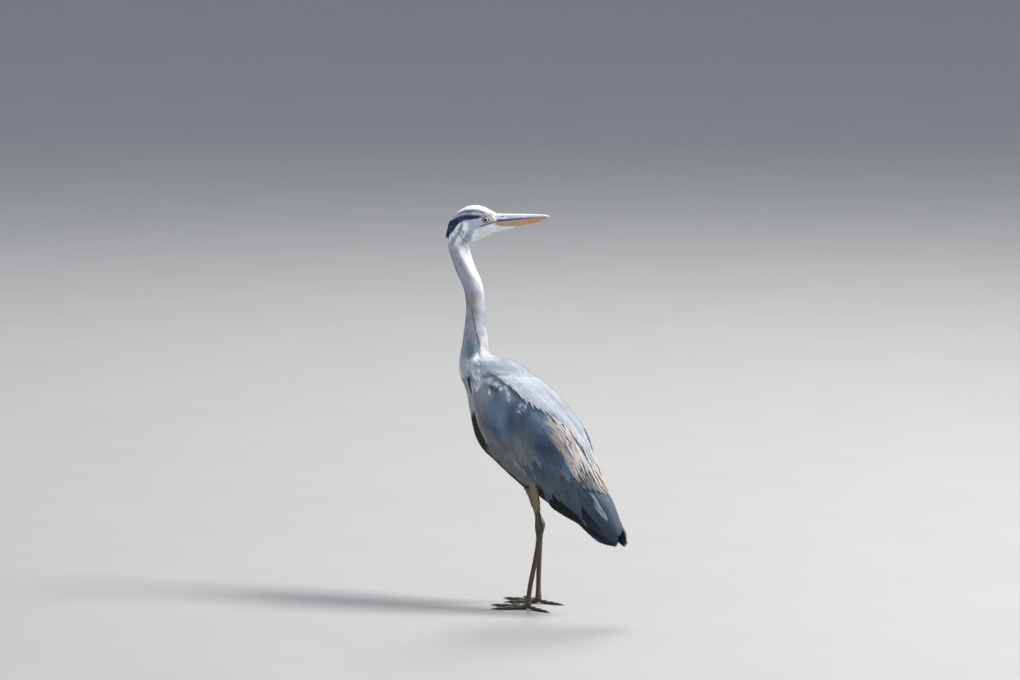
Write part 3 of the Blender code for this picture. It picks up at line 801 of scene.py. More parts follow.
def breast_colour(along, angle):
    """White down the breast and belly, with a black band along each flank and a dark vent."""
    angle = np.abs(angle)
    shoulder = beyond(along, 425, 25) * before(angle, 158, 30)
    colour = blend(WHITE * 0.94, mix(BLUE_GREY, LAVENDER, 0.6), shoulder)
    low = mix(190, 164, beyond(along, 235, 20))
    edge = mix(86, np.maximum(wing_edges(along)[1] - 3, 86), beyond(along, 218, 14))
    under_wing = ease((edge + 3 - angle) / 5) * before(along, 432, 14)
    colour = blend(colour, mix(TAUPE, LAVENDER, 0.35) * 0.85, under_wing)
    black = ease((angle - edge) / 8) * ease((low - angle) / 10) * before(along, 414, 12)
    colour = blend(colour, BLACK, black)
    front = before(along, 440, 10) * beyond(along, 408, 10) * before(angle, 150, 20)
    colour = blend(colour, LAVENDER * 0.8, 0.8 * front)
    hem = before(along, 348, 12) * beyond(along, 222, 12) * before(angle, 146, 6)
    return shoulder_marks(blend(colour, TAUPE * 0.8, hem), along, angle)


def mantle_colour(along, angle):
    """Pale lavender-grey, with painted light and shade: darker along the spine, whiter down the sides and
    at the front, streaked for soft folds, with painted shade in soft hollows and a few soft shadows.
    """
    angle = np.abs(angle)
    # painted light and shade: whiter down the sides than along the spine
    side = beyond(angle, 18, 30) * beyond(along, 300, 60)
    colour = blend(LAVENDER * 0.66, LAVENDER * 1.04, side)
    # painted light: whiter still towards the front of the sides
    colour = blend(colour, LAVENDER * 1.2, 0.8 * beyond(along, 440, 35) * beyond(angle, 30, 25))
    # painted light and shade of soft folds, as darker and lighter streaks
    folds = patchy(along * 0.35, angle, 4.5, 15) + 0.6 * patchy(along * 0.8, angle * 1.5, 4, 16)
    colour = colour * (1 + 0.11 * folds)[..., None]
    # painted shade in soft hollows
    hollow = ease(0.1 + 0.9 * patchy(along * 0.7, angle, 9, 5)) * beyond(along, 300, 60)
    colour = blend(colour, LAVENDER * 0.65, 0.3 * hollow)
    # painted soft shadows inside the cape, a little above its edge
    for at_a, at_b in ((415, 43), (392, 37), (374, 32)):
        colour = blend(colour, BLUE_GREY * 0.8, 0.45 * blob(along, angle, at_a, at_b, 12, 3))
    return colour


def ring_of(along, angle, at_a, at_b, radius, width):
    """A soft ring, 1 on its line: exp of minus the squared distance from it, a degree taken as 0.9 mm."""
    away = np.hypot(along - at_a, (angle - at_b) * 0.9)
    return np.exp(-(((away - radius) / width) ** 2))


def wing_colour(along, angle):
    """Slate in the middle of the coverts, taupe below, pale above, with a few pale tufts."""
    angle = np.abs(angle)
    colour = blend(SLATE, BLUE_GREY, ease(0.1 + patchy(along, angle * 1.2, 9, 7)) * 0.6)
    front = beyond(along, 370, 40) * beyond(angle, 60, 20)
    colour = blend(colour, mix(LAVENDER, TAUPE, 0.5), 0.8 * front)
    taupe = ease((angle - 76 + 10 * patchy(along, angle, 16, 8)) / 26) * before(along, 425, 50)
    colour = blend(colour, TAUPE, taupe * beyond(along, 130, 60))
    streaked = beyond(angle, 64, 14) * before(along, 390, 50)
    streaks = patchy(along * 0.3, angle * 1.3, 2.6, 12) * streaked
    colour = colour * (1 + 0.16 * streaks)[..., None]
    deep = 1.2 * blob(along, angle, 250, 62, 46, 16) + 0.4 * blob(along, angle, 315, 66, 24, 12)
    colour = blend(colour, NAVY * 1.5, 0.7 * np.clip(deep, 0, 1))
    rear = before(along, 236, 26) * beyond(angle, 70, 16)
    colour = blend(colour, mix(SLATE, TAUPE, 0.5) * 0.6, 0.8 * rear)
    rim = ease((angle - wing_edges(along)[1] + 9) / 6) * beyond(along, 342, 12)
    colour = blend(colour, LAVENDER * 0.85, 0.7 * rim)
    below = angle - cape_edge(along)
    shadow = ease(1.5 - np.abs(below - 3) / 6) * beyond(along, 285, 15) * before(along, 404, 12)
    colour = blend(colour, SLATE * 0.62, 0.9 * shadow)
    colour = blend(colour, CHEEK * 0.8, 0.7 * ring_of(along, angle, 335, 56.5, 5.5, 1.7))
    return shoulder_marks(colour, along, angle)


def body_colour(along, angle):
    """The colour of any place on the body, for the skin under the feathers."""
    upper, lower = wing_edges(along)
    size = np.abs(angle)
    colour = breast_colour(along, angle)
    on_wing = ease((size - upper) / 6) * ease((lower - size) / 6) * ease((WING_FRONT - along) / 12)
    colour = blend(colour, wing_colour(along, angle), on_wing)
    colour = blend(colour, mantle_colour(along, angle), ease((cape_edge(along) - size) / 5))
    rear = ease((flight_edge(along) - size) / 6) * before(along, 215, 30)
    colour = blend(colour, NAVY, rear)
    return blend(colour * 0.8, neck_colour(along, angle), beyond(along, 480, 30))


def head_colour(point):
    """The head's markings, by how far forward and up they lie from between the eyes, with painted shade
    under the cheek and a white patch behind it painted brighter for the light it catches.
    """
    forward, _, up = head_coordinates(point)
    colour = blend(CHEEK, WHITE, ease((line_at(THROAT_EDGE, forward) - up + 2) / 6))
    nape = before(forward, -36, 5) * before(up, -4, 5)
    blotch = ease(0.35 + patchy(forward, up, 2.2, 9))
    colour = blend(colour, mix(MAUVE * 0.9, WHITE, blotch[..., None]), nape * 0.9)
    # painted shade under the cheek
    colour = blend(colour, BLUE_GREY * 1.1, 0.6 * blob(forward, up, -36, -36, 6, 7))
    # a white patch, painted brighter than the other white as painted light
    white = before(forward, -34, 1.5) * beyond(forward, -49, 5)
    white = white * before(up, -4, 3) * beyond(up, -26, 5)
    colour = blend(colour, np.ones(3), 0.95 * white)
    streaks = ease(0.4 + patchy(forward * 0.5, up * 1.6, 2.2, 10))
    crown = blend(MAUVE * 1.15, NAVY, 0.4 * streaks)
    below_top = line_at([row[:2] for row in HEAD], forward) - up
    rim = line_at(CROWN_RIM, forward)
    shade = ease(1.4 - np.abs(below_top - rim - 2.5) / 2.5)
    shade = shade * beyond(forward, -62, 10) * before(forward, -2, 8)
    crown = blend(crown, NAVY * 1.8, 0.6 * shade)
    colour = blend(colour, crown, ease((up - line_at(BROW, forward)) / 3))
    colour = blend(colour, mix(WHITE, CREAM, 0.5), beyond(forward, 13, 3) * beyond(up, -2, 3))
    colour = blend(colour, WHITE, ease((rim - below_top) / 2.5))
    off_middle = np.abs(up - line_at(BAND_MIDDLE, forward))
    band = ease((line_at(BAND_HALF, forward) - off_middle) / 3) * before(forward, -5, 4)
    worn = ease(0.4 + patchy(forward * 0.4, up, 2, 11))
    nape = before(forward, -56, 12)
    colour = blend(colour, NAVY * (1.1 + 1.6 * worn + 0.5 * nape)[..., None], band)
    line = ease(1.2 - np.abs(up - line_at(GAPE_LINE, forward)) / 2) * beyond(forward, -14, 6)
    return blend(colour, NAVY * 1.3, 0.85 * line)


# ---------------------------------------------------------------- materials


class Graph:
    """The nodes of a material or of a group, with short ways to add and join them."""

    def __init__(self, tree):
        self.nodes, self.links = tree.nodes, tree.links

    def join(self, value, socket):
        """Joins another socket to this one, or gives it a plain value."""
        if isinstance(value, bpy.types.NodeSocket):
            self.links.new(value, socket)
        else:
            socket.default_value = value

    def add(self, kind, given=(), **settings):
        """The outputs of a new node: its settings first, then what its inputs are given."""
        node = self.nodes.new(f"ShaderNode{kind}")
        for title, value in settings.items():
            setattr(node, title, value)
        for key, value in dict(given).items():
            self.join(value, node.inputs[key])
        return node.outputs

    def math(self, operation, *values, clamp=False):
        """The result of a Math node on sockets or numbers."""
        return self.add("Math", enumerate(values), operation=operation, use_clamp=clamp)[0]

    def tint(self):
        """The colour painted onto each point of the mesh."""
        return self.add("Attribute", attribute_name="Tint")["Color"]

    def bump(self, height, strength, distance):
        """A normal raised by a height."""
        return self.add("Bump", {"Height": height, "Strength": strength, "Distance": distance})[0]


def new_group(name, inputs, outputs):
    """A node group with its graph, the sockets it is given and those it puts out."""
    group = bpy.data.node_groups.new(name, "ShaderNodeTree")
    for way, sockets in (("INPUT", inputs), ("OUTPUT", outputs)):
        for title, kind in sockets.items():
            group.interface.new_socket(title, in_out=way, socket_type=f"NodeSocket{kind}")
    given, out = group.nodes.new("NodeGroupInput"), group.nodes.new("NodeGroupOutput")
    return group, Graph(group), given.outputs, out.inputs


def barb_group():
    """Barbs that slant from the shaft to the rim of a vane, with the shaft as a fine ridge."""
    group, graph, given, out = new_group(
        "Barbs",
        {"Count": "Float", "Slant": "Float", "Splits": "Float"},
        {"Shade": "Float", "Shaft": "Float", "Height": "Float"},
    )
    lie = graph.add("SeparateXYZ", {0: graph.add("UVMap", uv_map="Lie")[0]})
    away = graph.math("ABSOLUTE", graph.math("SUBTRACT", lie[0], 0.5))
    run = graph.math("SUBTRACT", lie[1], graph.math("MULTIPLY", away, given["Slant"]))
    place = graph.add("TexCoord")["Object"]
    noise = graph.add("TexNoise", {"Scale": 420, "Detail": 3, "Vector": place})[0]
    run = graph.math("ADD", run, graph.math("MULTIPLY", noise, 0.05))
    turns = graph.math("MULTIPLY", run, given["Count"])
    wave = graph.math("SINE", graph.math("MULTIPLY", turns, 6.283))
    barbs = graph.math("MULTIPLY_ADD", wave, 0.5, 0.5)
    patches = graph.add("TexNoise", {"Scale": 95, "Vector": place})[0]
    uneven = graph.math("MULTIPLY", patches, given["Splits"])
    shaft = graph.math("SUBTRACT", 1.0, graph.math("DIVIDE", away, 0.035), clamp=True)
    graph.join(graph.math("MULTIPLY_ADD", barbs, 0.35, uneven), out["Shade"])
    graph.join(shaft, out["Shaft"])
    graph.join(graph.math("ADD", barbs, graph.math("MULTIPLY", shaft, 2.0)), out["Height"])
    return group


def mottle_group():
    """Soft blotches of another colour: the share is noise, spread to full contrast, times the amount."""
    group, graph, given, out = new_group(
        "Mottle",
        {"Colour": "Color", "Other": "Color", "Size": "Float", "Amount": "Float"},
        {"Colour": "Color", "Height": "Float"},
    )
    place = graph.add("TexCoord")["Object"]
    noise = graph.add(
        "TexNoise", {"Detail": 6, "Roughness": 0.6, "Vector": place, "Scale": given["Size"]})[0]
    spread = graph.add("MapRange", {"From Min": 0.35, "From Max": 0.65, "Value": noise})[0]
    share = graph.math("MULTIPLY", spread, given["Amount"])
    mixed = graph.add(
        "Mix", {"Factor": share, "A": given["Colour"], "B": given["Other"]}, data_type="RGBA")
    graph.join(mixed["Result"], out["Colour"])
    graph.join(noise, out["Height"])
    return group


BARBS = barb_group()
MOTTLE = mottle_group()


def new_material(name, roughness, **given):
    """A material with its graph and its shader's inputs."""
    material = bpy.data.materials.new(name)
    material.use_nodes = True
    graph = Graph(material.node_tree)
    shader = graph.nodes["Principled BSDF"].inputs
    shader["Roughness"].default_value = roughness
    for title, value in given.items():
        shader[title.replace("_", " ")].default_value = value
    return material, graph, shader


def feather_material(name, count, slant, shaft_dark=0.35, roughness=0.62, sheen=0.0, splits=0.5,
                     bump=0.2):
    """Tint of the feather, darker between its barbs and darker or paler along its shaft."""
    material, graph, shader = new_material(
        name, roughness, Sheen_Weight=sheen, Sheen_Roughness=0.5, Specular_IOR_Level=0.15)
    barbs = graph.add("Group", {"Count": count, "Slant": slant, "Splits": splits}, node_tree=BARBS)
    shade = graph.math("MULTIPLY_ADD", barbs["Shade"], 0.5, 0.72)
    dark = graph.math("MULTIPLY_ADD", barbs["Shaft"], -shaft_dark, 1.0)
    factor = graph.math("MULTIPLY", shade, dark)
    scaled = graph.add("VectorMath", {0: graph.tint(), "Scale": factor}, operation="SCALE")
    graph.join(scaled[0], shader["Base Color"])
    graph.join(graph.bump(barbs["Height"], bump, 0.0003), shader["Normal"])
    return material


def tinted_material(name, other, size, amount, roughness, bump=0.2, coat=0.0):
    """The piece's own tint, blotched with another colour."""
    material, graph, shader = new_material(name, roughness, Coat_Weight=coat, Coat_Roughness=0.2)
    mottle = graph.add("Group", {"Size": size, "Amount": amount, "Other": (*other, 1),
                                 "Colour": graph.tint()}, node_tree=MOTTLE)
    graph.join(mottle["Colour"], shader["Base Color"])
    graph.join(graph.bump(mottle["Height"], bump, 0.0004), shader["Normal"])
    return material


def floor_material():
    """A matt, faintly uneven grey."""
    material, graph, shader = new_material("studio_floor", 0.85)
    mottle = graph.add("Group", {"Size": 3, "Amount": 0.4, "Colour": (0.25, 0.25, 0.247, 1),
                                 "Other": (0.23, 0.23, 0.227, 1)}, node_tree=MOTTLE)
    graph.join(mottle["Colour"], shader["Base Color"])
    return material


def eye_material():
    """The eye's own tint under a thin clear coat."""
    material, graph, shader = new_material(
        "eye", 0.2, Specular_IOR_Level=0.3, Coat_Weight=0.06, Coat_Roughness=0.02)
    graph.join(graph.tint(), shader["Base Color"])
    return material


DOWN_FEATHERS = feather_material("small_feathers", 9, 0.5, 0.1, sheen=0.03, splits=0.6, bump=0.12)
MANTLE = feather_material("mantle_feathers", 30, 1.2, 0.0, sheen=0.05, splits=0.35, bump=0.05)
COVERTS = feather_material("coverts", 22, 0.4, 0.25, splits=0.7)
PLUMES = feather_material("plumes", 40, 0.25, -0.2, sheen=0.03, splits=0.6)
QUILLS = feather_material("quills", 90, 0.2, 0.3, roughness=0.42, splits=0.4, bump=0.3)
SKIN = tinted_material("skin", srgb(120, 110, 108), 180, 0.2, 0.75)
HORN = tinted_material("bill_horn", srgb(90, 82, 74), 60, 0.25, 0.38, 0.12, coat=0.15)
SCALES = tinted_material("leg_scales", srgb(58, 44, 38), 260, 0.45, 0.55, 0.3)
CLAWS = tinted_material("claw_horn", srgb(50, 42, 36), 300, 0.4, 0.35, 0.2)
LIDS = tinted_material("lid_skin", srgb(120, 120, 70), 700, 0.35, 0.5, 0.3)
EYE = eye_material()


# ---------------------------------------------------------------- skin


SKIN_VOXEL = 0.0026  # in metres


def skin_depth(along):
    """The coat's depth: deep on the trunk, thin on the neck."""
    return mix(5.0, 2.6, beyond(along, 440, 90))


def build_skin():
    """One skin over trunk, wings, neck, head and thighs: closed tubes joined by a voxel remesh."""
    along = np.linspace(62, ALONG["skull_base"], 130)[:, None]
    angle = np.arange(72)[None, :] * 5.0 - 180
    trunk = plumage_point(along, angle, -0.15 * wing_height(along, angle) - skin_depth(along))
    forward = np.linspace(HEAD_REAR + 3, HEAD_FRONT - 1, 46)[:, None]
    head = head_point(forward, np.arange(48)[None, :] * 7.5, -1.6)
    chin = chin_point(np.linspace(-12.0, -59, 24)[:, None], np.linspace(-180, 165, 24)[None, :], -1.2)
    tubes = [(trunk, body_colour(*np.broadcast_arrays(along, angle))), (head, head_colour(head)),
             (chin, flat(WHITE * 0.85, chin[..., 0]))]
    for side in SIDES:
        point, length = thigh_point(side)
        high = np.linspace(2, length, 30)[:, None]
        rings = point(high, np.arange(28)[None, :] * 360 / 28, -1.6)
        tubes.append((rings, thigh_colour(high + 0 * rings[..., 0], length)))
    points, quads, triangles, tints, start = [], [], [], [], 0
    for rings, colour in tubes:
        place, four, three = shell(rings)
        points.append(place)
        quads.append(four + start)
        triangles.append(three + start)
        tints.append(with_ends(colour))
        start += len(place)
    nodes = [n for n in frame["nodes"] if n.startswith(("neck_", "wing_", "thigh_", "primaries_"))]
    skin = make_piece(
        "skin", *map(np.concatenate, (points, quads, triangles)), SKIN, "plumage_grey",
        np.concatenate(tints), stands_for=["trunk", "head", "tail", *nodes],
    )
    skin.data.remesh_voxel_size = SKIN_VOXEL
    skin.data.use_remesh_preserve_attributes = True
    smooth = skin.modifiers.new("soften", "SMOOTH")
    smooth.iterations = 4
    smooth.factor = 0.5
    with bpy.context.temp_override(object=skin, active_object=skin, selected_objects=[skin]):
        bpy.ops.object.voxel_remesh()
        bpy.ops.object.modifier_apply(modifier=smooth.name)
    skin.data.shade_smooth()


# ---------------------------------------------------------------- the coat


SHOWN_SHARE = 0.6  # how far down each small feather the place lies where it shows


def small_coat(name, place, roots, marks, size, seed, turn=0.0, low=-1.6, high=0.0, clumps=(8, 10, 0.5),
               shades=(0.85, 1.03, 1.07), uneven=0.06, rough=0.2, camber=0.2, thick=0.18,
               material=DOWN_FEATHERS, slot="plumage_grey", **shape):
    """A stretch of small feathers, darker where they are covered.

    Marks gives the colour of a place; each feather takes that of the place where it shows, partway
    down its lie. Clumps gives the size of the tufts they gather into, how far they turn in degrees,
    and how far they rise or sink in mm. Shades are the brightness of base, tip and edge.
    """
    a, b = roots
    rng = np.random.default_rng(seed)
    count = len(a)
    scale, swing, swell = clumps
    metric_a, metric_b = metric(place, a, b)
    clump = patchy(a, b * metric_b, scale, seed + 1)
    length, width = (value * rng.uniform(0.8, 1.2, count) for value in size)
    turn = turn + swing * clump + rng.uniform(-6, 6, count)
    rise = swell * patchy(a, b * metric_b, scale * 0.8, seed + 2)
    high = high + rise + rng.uniform(-rough, rough, count)
    tract = Tract(place, a, b, length, width, turn, low, high, camber, thick=thick)
    lie = np.radians(turn)
    shown = SHOWN_SHARE * length
    aside = np.clip(shown * np.sin(lie) / metric_b, -14, 14)
    colour = marks(a - shown * np.cos(lie) / metric_a, b + aside)
    own = colour * (1 + uneven * rng.uniform(-1, 1, (count, 1)) + 0.05 * clump[:, None])
    tract.paint(*(own * shade for shade in shades))
    feather_mesh(name, tract, material, slot, seed=seed, **shape)


def build_neck_coat():
    """Small feathers right round the neck, shorter and narrower towards the head."""
    for name, low, high, size, spacing, seed in (
        ("coat_neck_low", 478, 575, (17, 2.8), (3.5, 1.9), 11),
        ("coat_neck_high", 570, 757, (12, 2.1), (3.0, 1.5), 12),
    ):
        a, b = scatter(body_point, (low, high), (-180, 180), spacing, seed)
        clear = ~inside_head(body_point(a, b, 0.0), 1.5)
        small_coat(name, body_point, (a[clear], b[clear]), neck_colour, size, seed, low=-0.8, high=0,
                   blunt=0.2, slot="plumage_pale", clumps=(5, 8, 0.2), rough=0.08, thick=0.1,
                   shades=(0.92, 1.0, 1.03))


def inside_head(point, margin):
    """Whether points lie inside the head, deeper than a margin."""
    forward, left, up = head_coordinates(point)
    top, bottom, half = table_at(HEAD, forward)
    level = (up - (top + bottom) / 2) / ((top - bottom) / 2 - margin)
    ahead = (forward > HEAD_REAR + margin) & (forward < HEAD_FRONT)
    return ahead & (level**2 + (left / (half - margin)) ** 2 < 1)


def inside_neck(point, margin):
    """Whether points lie inside the neck's upper stretch, by distance from its centre line."""
    along = np.linspace(ALONG["neck_lean"], ALONG["skull_base"], 40)
    rows = through(SPINE_KNOTS, SPINE_ROWS, along)
    centre = np.stack([np.zeros(40), rows[:, 0], rows[:, 1]], -1)
    gap = np.linalg.norm(point[..., None, :] - centre, axis=-1) - rows[:, 5]
    return gap.min(-1) < -margin


def head_marks(forward, angle):
    """The head's colour at a place on it."""
    return head_colour(head_point(forward, angle, 0.0))


EYE_OPENING = 6.7  # how far round each eye the coat leaves bare


def build_head_coat():
    """Small feathers from the bill's root back over crown, cheeks and throat."""
    for name, low, high, size, spacing, seed in (
        ("coat_face", -22, 17.8, (5.4, 1.3), (1.6, 0.92), 21),
        ("coat_crown", -80, -18, (8.5, 1.7), (2.2, 1.2), 22),
    ):
        a, b = scatter(head_point, (low, high), (-180, 180), spacing, seed)
        place = head_point(a, b, 0.0)
        _, left, up = head_coordinates(place)
        eye = np.hypot(a - EYE_PLACE[0], (up - EYE_PLACE[2]) * 1.05) < EYE_OPENING
        lore = (a > 7) & (np.abs(up + 1.5 - 0.12 * a) < 3.2 - 0.12 * (18 - a))
        keep = ~(eye & (np.abs(left) > 8)) & ~lore & ~inside_neck(place, 2.5)
        a, b, up = a[keep], b[keep], up[keep]
        droop = 62 * before(a, -30, 8) * before(up, -6, 8) * np.sign(b)
        small_coat(name, head_point, (a, b), head_marks, size, seed, droop, low=-1.0, high=0,
                   blunt=0.2, rows=4, slot="plumage_pale", clumps=(3, 8, 0.2), rough=0.1, thick=0.1,
                   shades=(0.9, 1.02, 1.05))


def both_sides(roots):
    """Roots on the left, and the same ones on the right."""
    a, b = roots
    return np.concatenate([a, a]), np.concatenate([b, -b])


def build_trunk_coat():
    """Breast, belly, flanks and vent, then the mantle's loose pale feathers."""

    def lower_edges(along):
        """From under the wing, or from the shoulder ahead of it, to the middle of the belly."""
        low = 40.0 if along > WING_FRONT - 30 else wing_edges(along)[1] - 10
        return (max(low, 112.0) if along < 230 else low), 180.0

    a, b = both_sides(scatter(plumage_point, (118, 492), lower_edges, (5.2, 3.1), 31))
    size = mix(16, 24, before(a, 430, 120)), mix(3.2, 5, before(a, 430, 120))
    small_coat("coat_breast", plumage_point, (a, b), breast_colour, size, 33, low=-1.6, high=0,
               blunt=0.25, ragged=0.12, clumps=(12, 9, 0.4), rough=0.1, thick=0.12)

    def mantle_length(along):
        """Longer towards the rear."""
        return mix(16, 32, before(along, 480, 150))

    def upper_edges(along):
        """From the spine to where a feather's shown part reaches the cape's edge."""
        return 0.0, cape_edge(along - SHOWN_SHARE * mantle_length(along)) - 1.0

    a, b = both_sides(scatter(plumage_point, (190, 500), upper_edges, (4.2, 2.5), 34))
    size = mantle_length(a), mix(3.6, 5.5, before(a, 480, 110))
    turn = 6 * np.sign(b) * ease(np.abs(b) / 40)
    lift = 1.0 * ease((np.abs(b) - cape_edge(a - 15) + 19) / 9)
    small_coat("coat_mantle", plumage_point, (a, b), mantle_colour, size, 36, turn=turn, low=-0.7,
               high=lift, blunt=0.2, ragged=0.08, clumps=(18, 9, 0.3), shades=(0.96, 1.0, 1.01),
               uneven=0.09, rough=0.08, camber=0.2, thick=0.09, rows=6, columns=3, material=MANTLE)
    build_cape_fringe()


def build_cape_fringe():
    """Loose pale strands where the cape ends behind the shoulder, and tufts at its front corner."""
    rng = np.random.default_rng(37)
    count = 60
    a = np.concatenate([rng.uniform(268, 306, 46), rng.uniform(462, 476, 14)])
    front = a > 400
    b = np.where(front, rng.uniform(70, 86, count), cape_edge(a - 14) - rng.uniform(1, 6, count))
    length = np.where(front, 15, 28) * rng.uniform(0.7, 1.15, count)
    a, b = both_sides((a, b))
    front, length, count = np.tile(front, 2), np.tile(length, 2), 2 * count
    tract = Tract(plumage_point, a, b, length, rng.uniform(3, 6, count),
                  np.sign(b) * np.where(front, 4, 8) + rng.uniform(-8, 8, count),
                  -2, rng.uniform(0.3, 1.1, count), sweep=rng.uniform(-3, 3, count))
    bright = mix(LAVENDER, WHITE, np.where(front, 0.9, 0)[:, None])
    colour = bright * varied(1, count, 38, 0.08)
    tract.paint(colour * 0.85, colour, colour)
    feather_mesh("cape_fringe", tract, DOWN_FEATHERS, "plumage_pale", rows=8, columns=3, blunt=0.2,
                 ragged=0.12, seed=39)


def covert_turn(along, angle):
    """How far the wing's feathers turn down from the body's line: most low on the wing."""
    return 4 + 32 * beyond(angle, 45, 60) * beyond(along, 90, 60)


def build_wing_coat(side):
    """All the feathers of one folded wing, from the small coverts to the plumes over its back."""
    sign = SIDES[side]
    seed = 100 if side == "left" else 200

    def covert_rows(name, a_range, size, spacing, lift, number):
        """One band of small coverts."""

        def band(along):
            """From just under the cape to the wing's lower edge."""
            return cape_edge(along) - 7, min(126, wing_edges(along)[1] - 1)

        a, b = scatter(plumage_point, a_range, band, spacing, seed + number)
        small_coat(f"{name}_{side}", plumage_point, (a, b * sign), wing_colour, size,
                   seed + number, turn=covert_turn(a, b) * sign, low=lift - 1.6, high=lift, blunt=0.35,
                   rows=6, columns=4, ragged=0.08, material=COVERTS, clumps=(16, 9, 0.35),
                   shades=(0.92, 1.0, 1.03), uneven=0.05, rough=0.1, thick=0.14)

    covert_rows("coat_lesser_front", (350, 437), (16, 4.4), (4.0, 2.8), 0.2, 7)
    covert_rows("coat_lesser", (296, 356), (20, 6), (4.8, 3.6), 0.3, 1)
    covert_rows("coat_median", (190, 306), (34, 11), (8, 6), 0.2, 2)
    build_wing_hem(side, seed)
    build_greater_coverts(side, seed)
    build_secondaries(side, seed)
    build_primaries(side, seed)
    build_gloss(side, seed)
    build_tertials(side, seed)
    build_scapulars(side, seed)


def build_wing_hem(side, seed):
    """Soft feathers that hang from the wing's lower edge over the flank."""
    sign = SIDES[side]
    a, b = scatter(plumage_point, (236, 348), (106, 134), (6, 6), seed + 3)
    count = len(a)
    rng = np.random.default_rng(seed + 4)
    tract = Tract(plumage_point, a, b * sign, rng.uniform(26, 40, count), rng.uniform(9, 13, count),
                  (24 + rng.uniform(-8, 8, count)) * sign, -1.6, rng.uniform(0.2, 1.2, count))
    colour = mix(TAUPE * 0.95, SLATE, rng.uniform(0, 0.6, (count, 1))) * varied(1, count, seed + 5, 0.1)
    tract.paint(colour * 0.7, colour, colour * 1.12)
    feather_mesh(f"wing_hem_{side}", tract, COVERTS, "plumage_grey", rows=8, columns=5, blunt=0.5,
                 ragged=0.06, seed=seed + 6)


def row_of(count, *ends):
    """Values that run evenly between the two given for each name."""
    share = np.linspace(0, 1, count)
    return [mix(first, last, share) for first, last in ends]


def build_greater_coverts(side, seed):
    """Long rounded feathers in three rows, which turn down towards the wing's lower edge."""
    sign = SIDES[side]
    for number, (count, a, b, length, lift) in enumerate((
        (17, (352, 150), (118, 78), (60, 84), -0.4),
        (15, (318, 164), (106, 66), (54, 70), 0.1),
        (13, (288, 178), (94, 58), (48, 60), 0.5),
    )):
        at_a, at_b, size = row_of(count, a, b, length)
        rng = np.random.default_rng(seed + number)
        turn = (mix(34, 27, np.linspace(0, 1, count)) + rng.uniform(-6, 6, count)) * sign
        size = size * rng.uniform(0.88, 1.1, count)
        tract = Tract(plumage_point, at_a, at_b * sign, size, 19, turn, lift - 2, lift,
                      tilt=0.35 * sign, sweep=rng.uniform(-3, 3, count))
        colour = mix(SLATE * 0.68, mix(TAUPE, SLATE, 0.35) * 0.62, rng.uniform(0, 1, (count, 1)))
        colour = colour * varied(1, count, seed + number, 0.08)
        tract.paint(colour * 0.75, colour * 0.97, colour * 1.16)
        feather_mesh(f"greater_coverts_{number + 1}_{side}", tract, COVERTS, "plumage_grey", rows=14,
                     columns=7, blunt=0.7, ragged=0.05, seed=seed + number, unwrap=strips)


def build_secondaries(side, seed):
    """Dark flight feathers under the coverts."""
    sign = SIDES[side]
    count = 14
    a, b, length = row_of(count, (290, 176), (124, 84), (84, 130))
    turn = mix(20, 6, np.linspace(0, 1, count)) * sign
    tract = Tract(plumage_point, a, b * sign, length, 20, turn, -3.4, -1.2, tilt=0.5 * sign)
    tract.paint(varied(BLACK, count, seed + 5), varied(NAVY * 0.8, count, seed + 6), NAVY)
    feather_mesh(f"secondaries_{side}", tract, QUILLS, "plumage_dark", rows=16, columns=7, blunt=0.8,
                 seed=seed + 5, unwrap=strips)


TIP_PLACES = {"left": 7, "right": 1}  # along the spine, where each wing's longest primaries end


def build_primaries(side, seed):
    """The flight feathers that reach the wing tip, black below and slate above."""
    sign = SIDES[side]
    fans = (  # angles at root and tip, from the lowest feather up, and how far each tip falls short
        (136, 140, 36), (128, 132, 20), (118, 124, 8), (104, 114, 2), (90, 100, 0), (76, 84, 0),
        (62, 68, 3), (48, 52, 5), (34, 38, 3), (20, 24, 5), (8, 10, 9),
    )
    b_root, b_tip, short = np.array(fans, float).T
    tips = TIP_PLACES[side] + short
    count = len(fans)
    root = np.full(count, PRIMARY_ROOT)
    length = (root - tips) / VANE_END
    _, rate = metric(plumage_point, (root + tips) / 2, (b_root + b_tip) / 2)
    turn = np.degrees(np.arctan2((b_tip - b_root) * rate, length)) * sign
    tract = Tract(plumage_point, root, b_root * sign, length, np.linspace(17, 14, count), turn,
                  -3.6, -1.2, tilt=0.5 * sign, spread=0.95)
    black = beyond(b_root, 94, 18)
    shade = mix(SLATE * 1.1, BLACK, black[:, None])
    tract.paint(shade * 0.7, shade * 0.32, mix(SLATE * 0.5, NAVY * 0.5, black[:, None]))
    feather_mesh(f"primary_feathers_{side}", tract, QUILLS, "plumage_dark", rows=28, columns=7,
                 blunt=1.0, seed=seed + 7, unwrap=strips)


def build_gloss(side, seed):
    """Thin pale strokes of sheen along the folded primaries."""
    sign = SIDES[side]
    rng = np.random.default_rng(seed + 8)
    count = 15
    at = rng.uniform(82, 122, count)
    gloss = Tract(plumage_point, at, (51 + 0.12 * (120 - at) + rng.uniform(-7, 7, count)) * sign,
                  rng.uniform(20, 40, count), rng.uniform(3, 5, count), 4 * sign, -1.2, 0.2)
    gloss.paint(SLATE * 1.2, mix(BLUE_GREY, LAVENDER, 0.6) * 1.2, BLUE_GREY * 1.2)
    feather_mesh(f"primary_gloss_{side}", gloss, QUILLS, "plumage_dark", rows=9, columns=4, blunt=0.3,
                 seed=seed + 8)


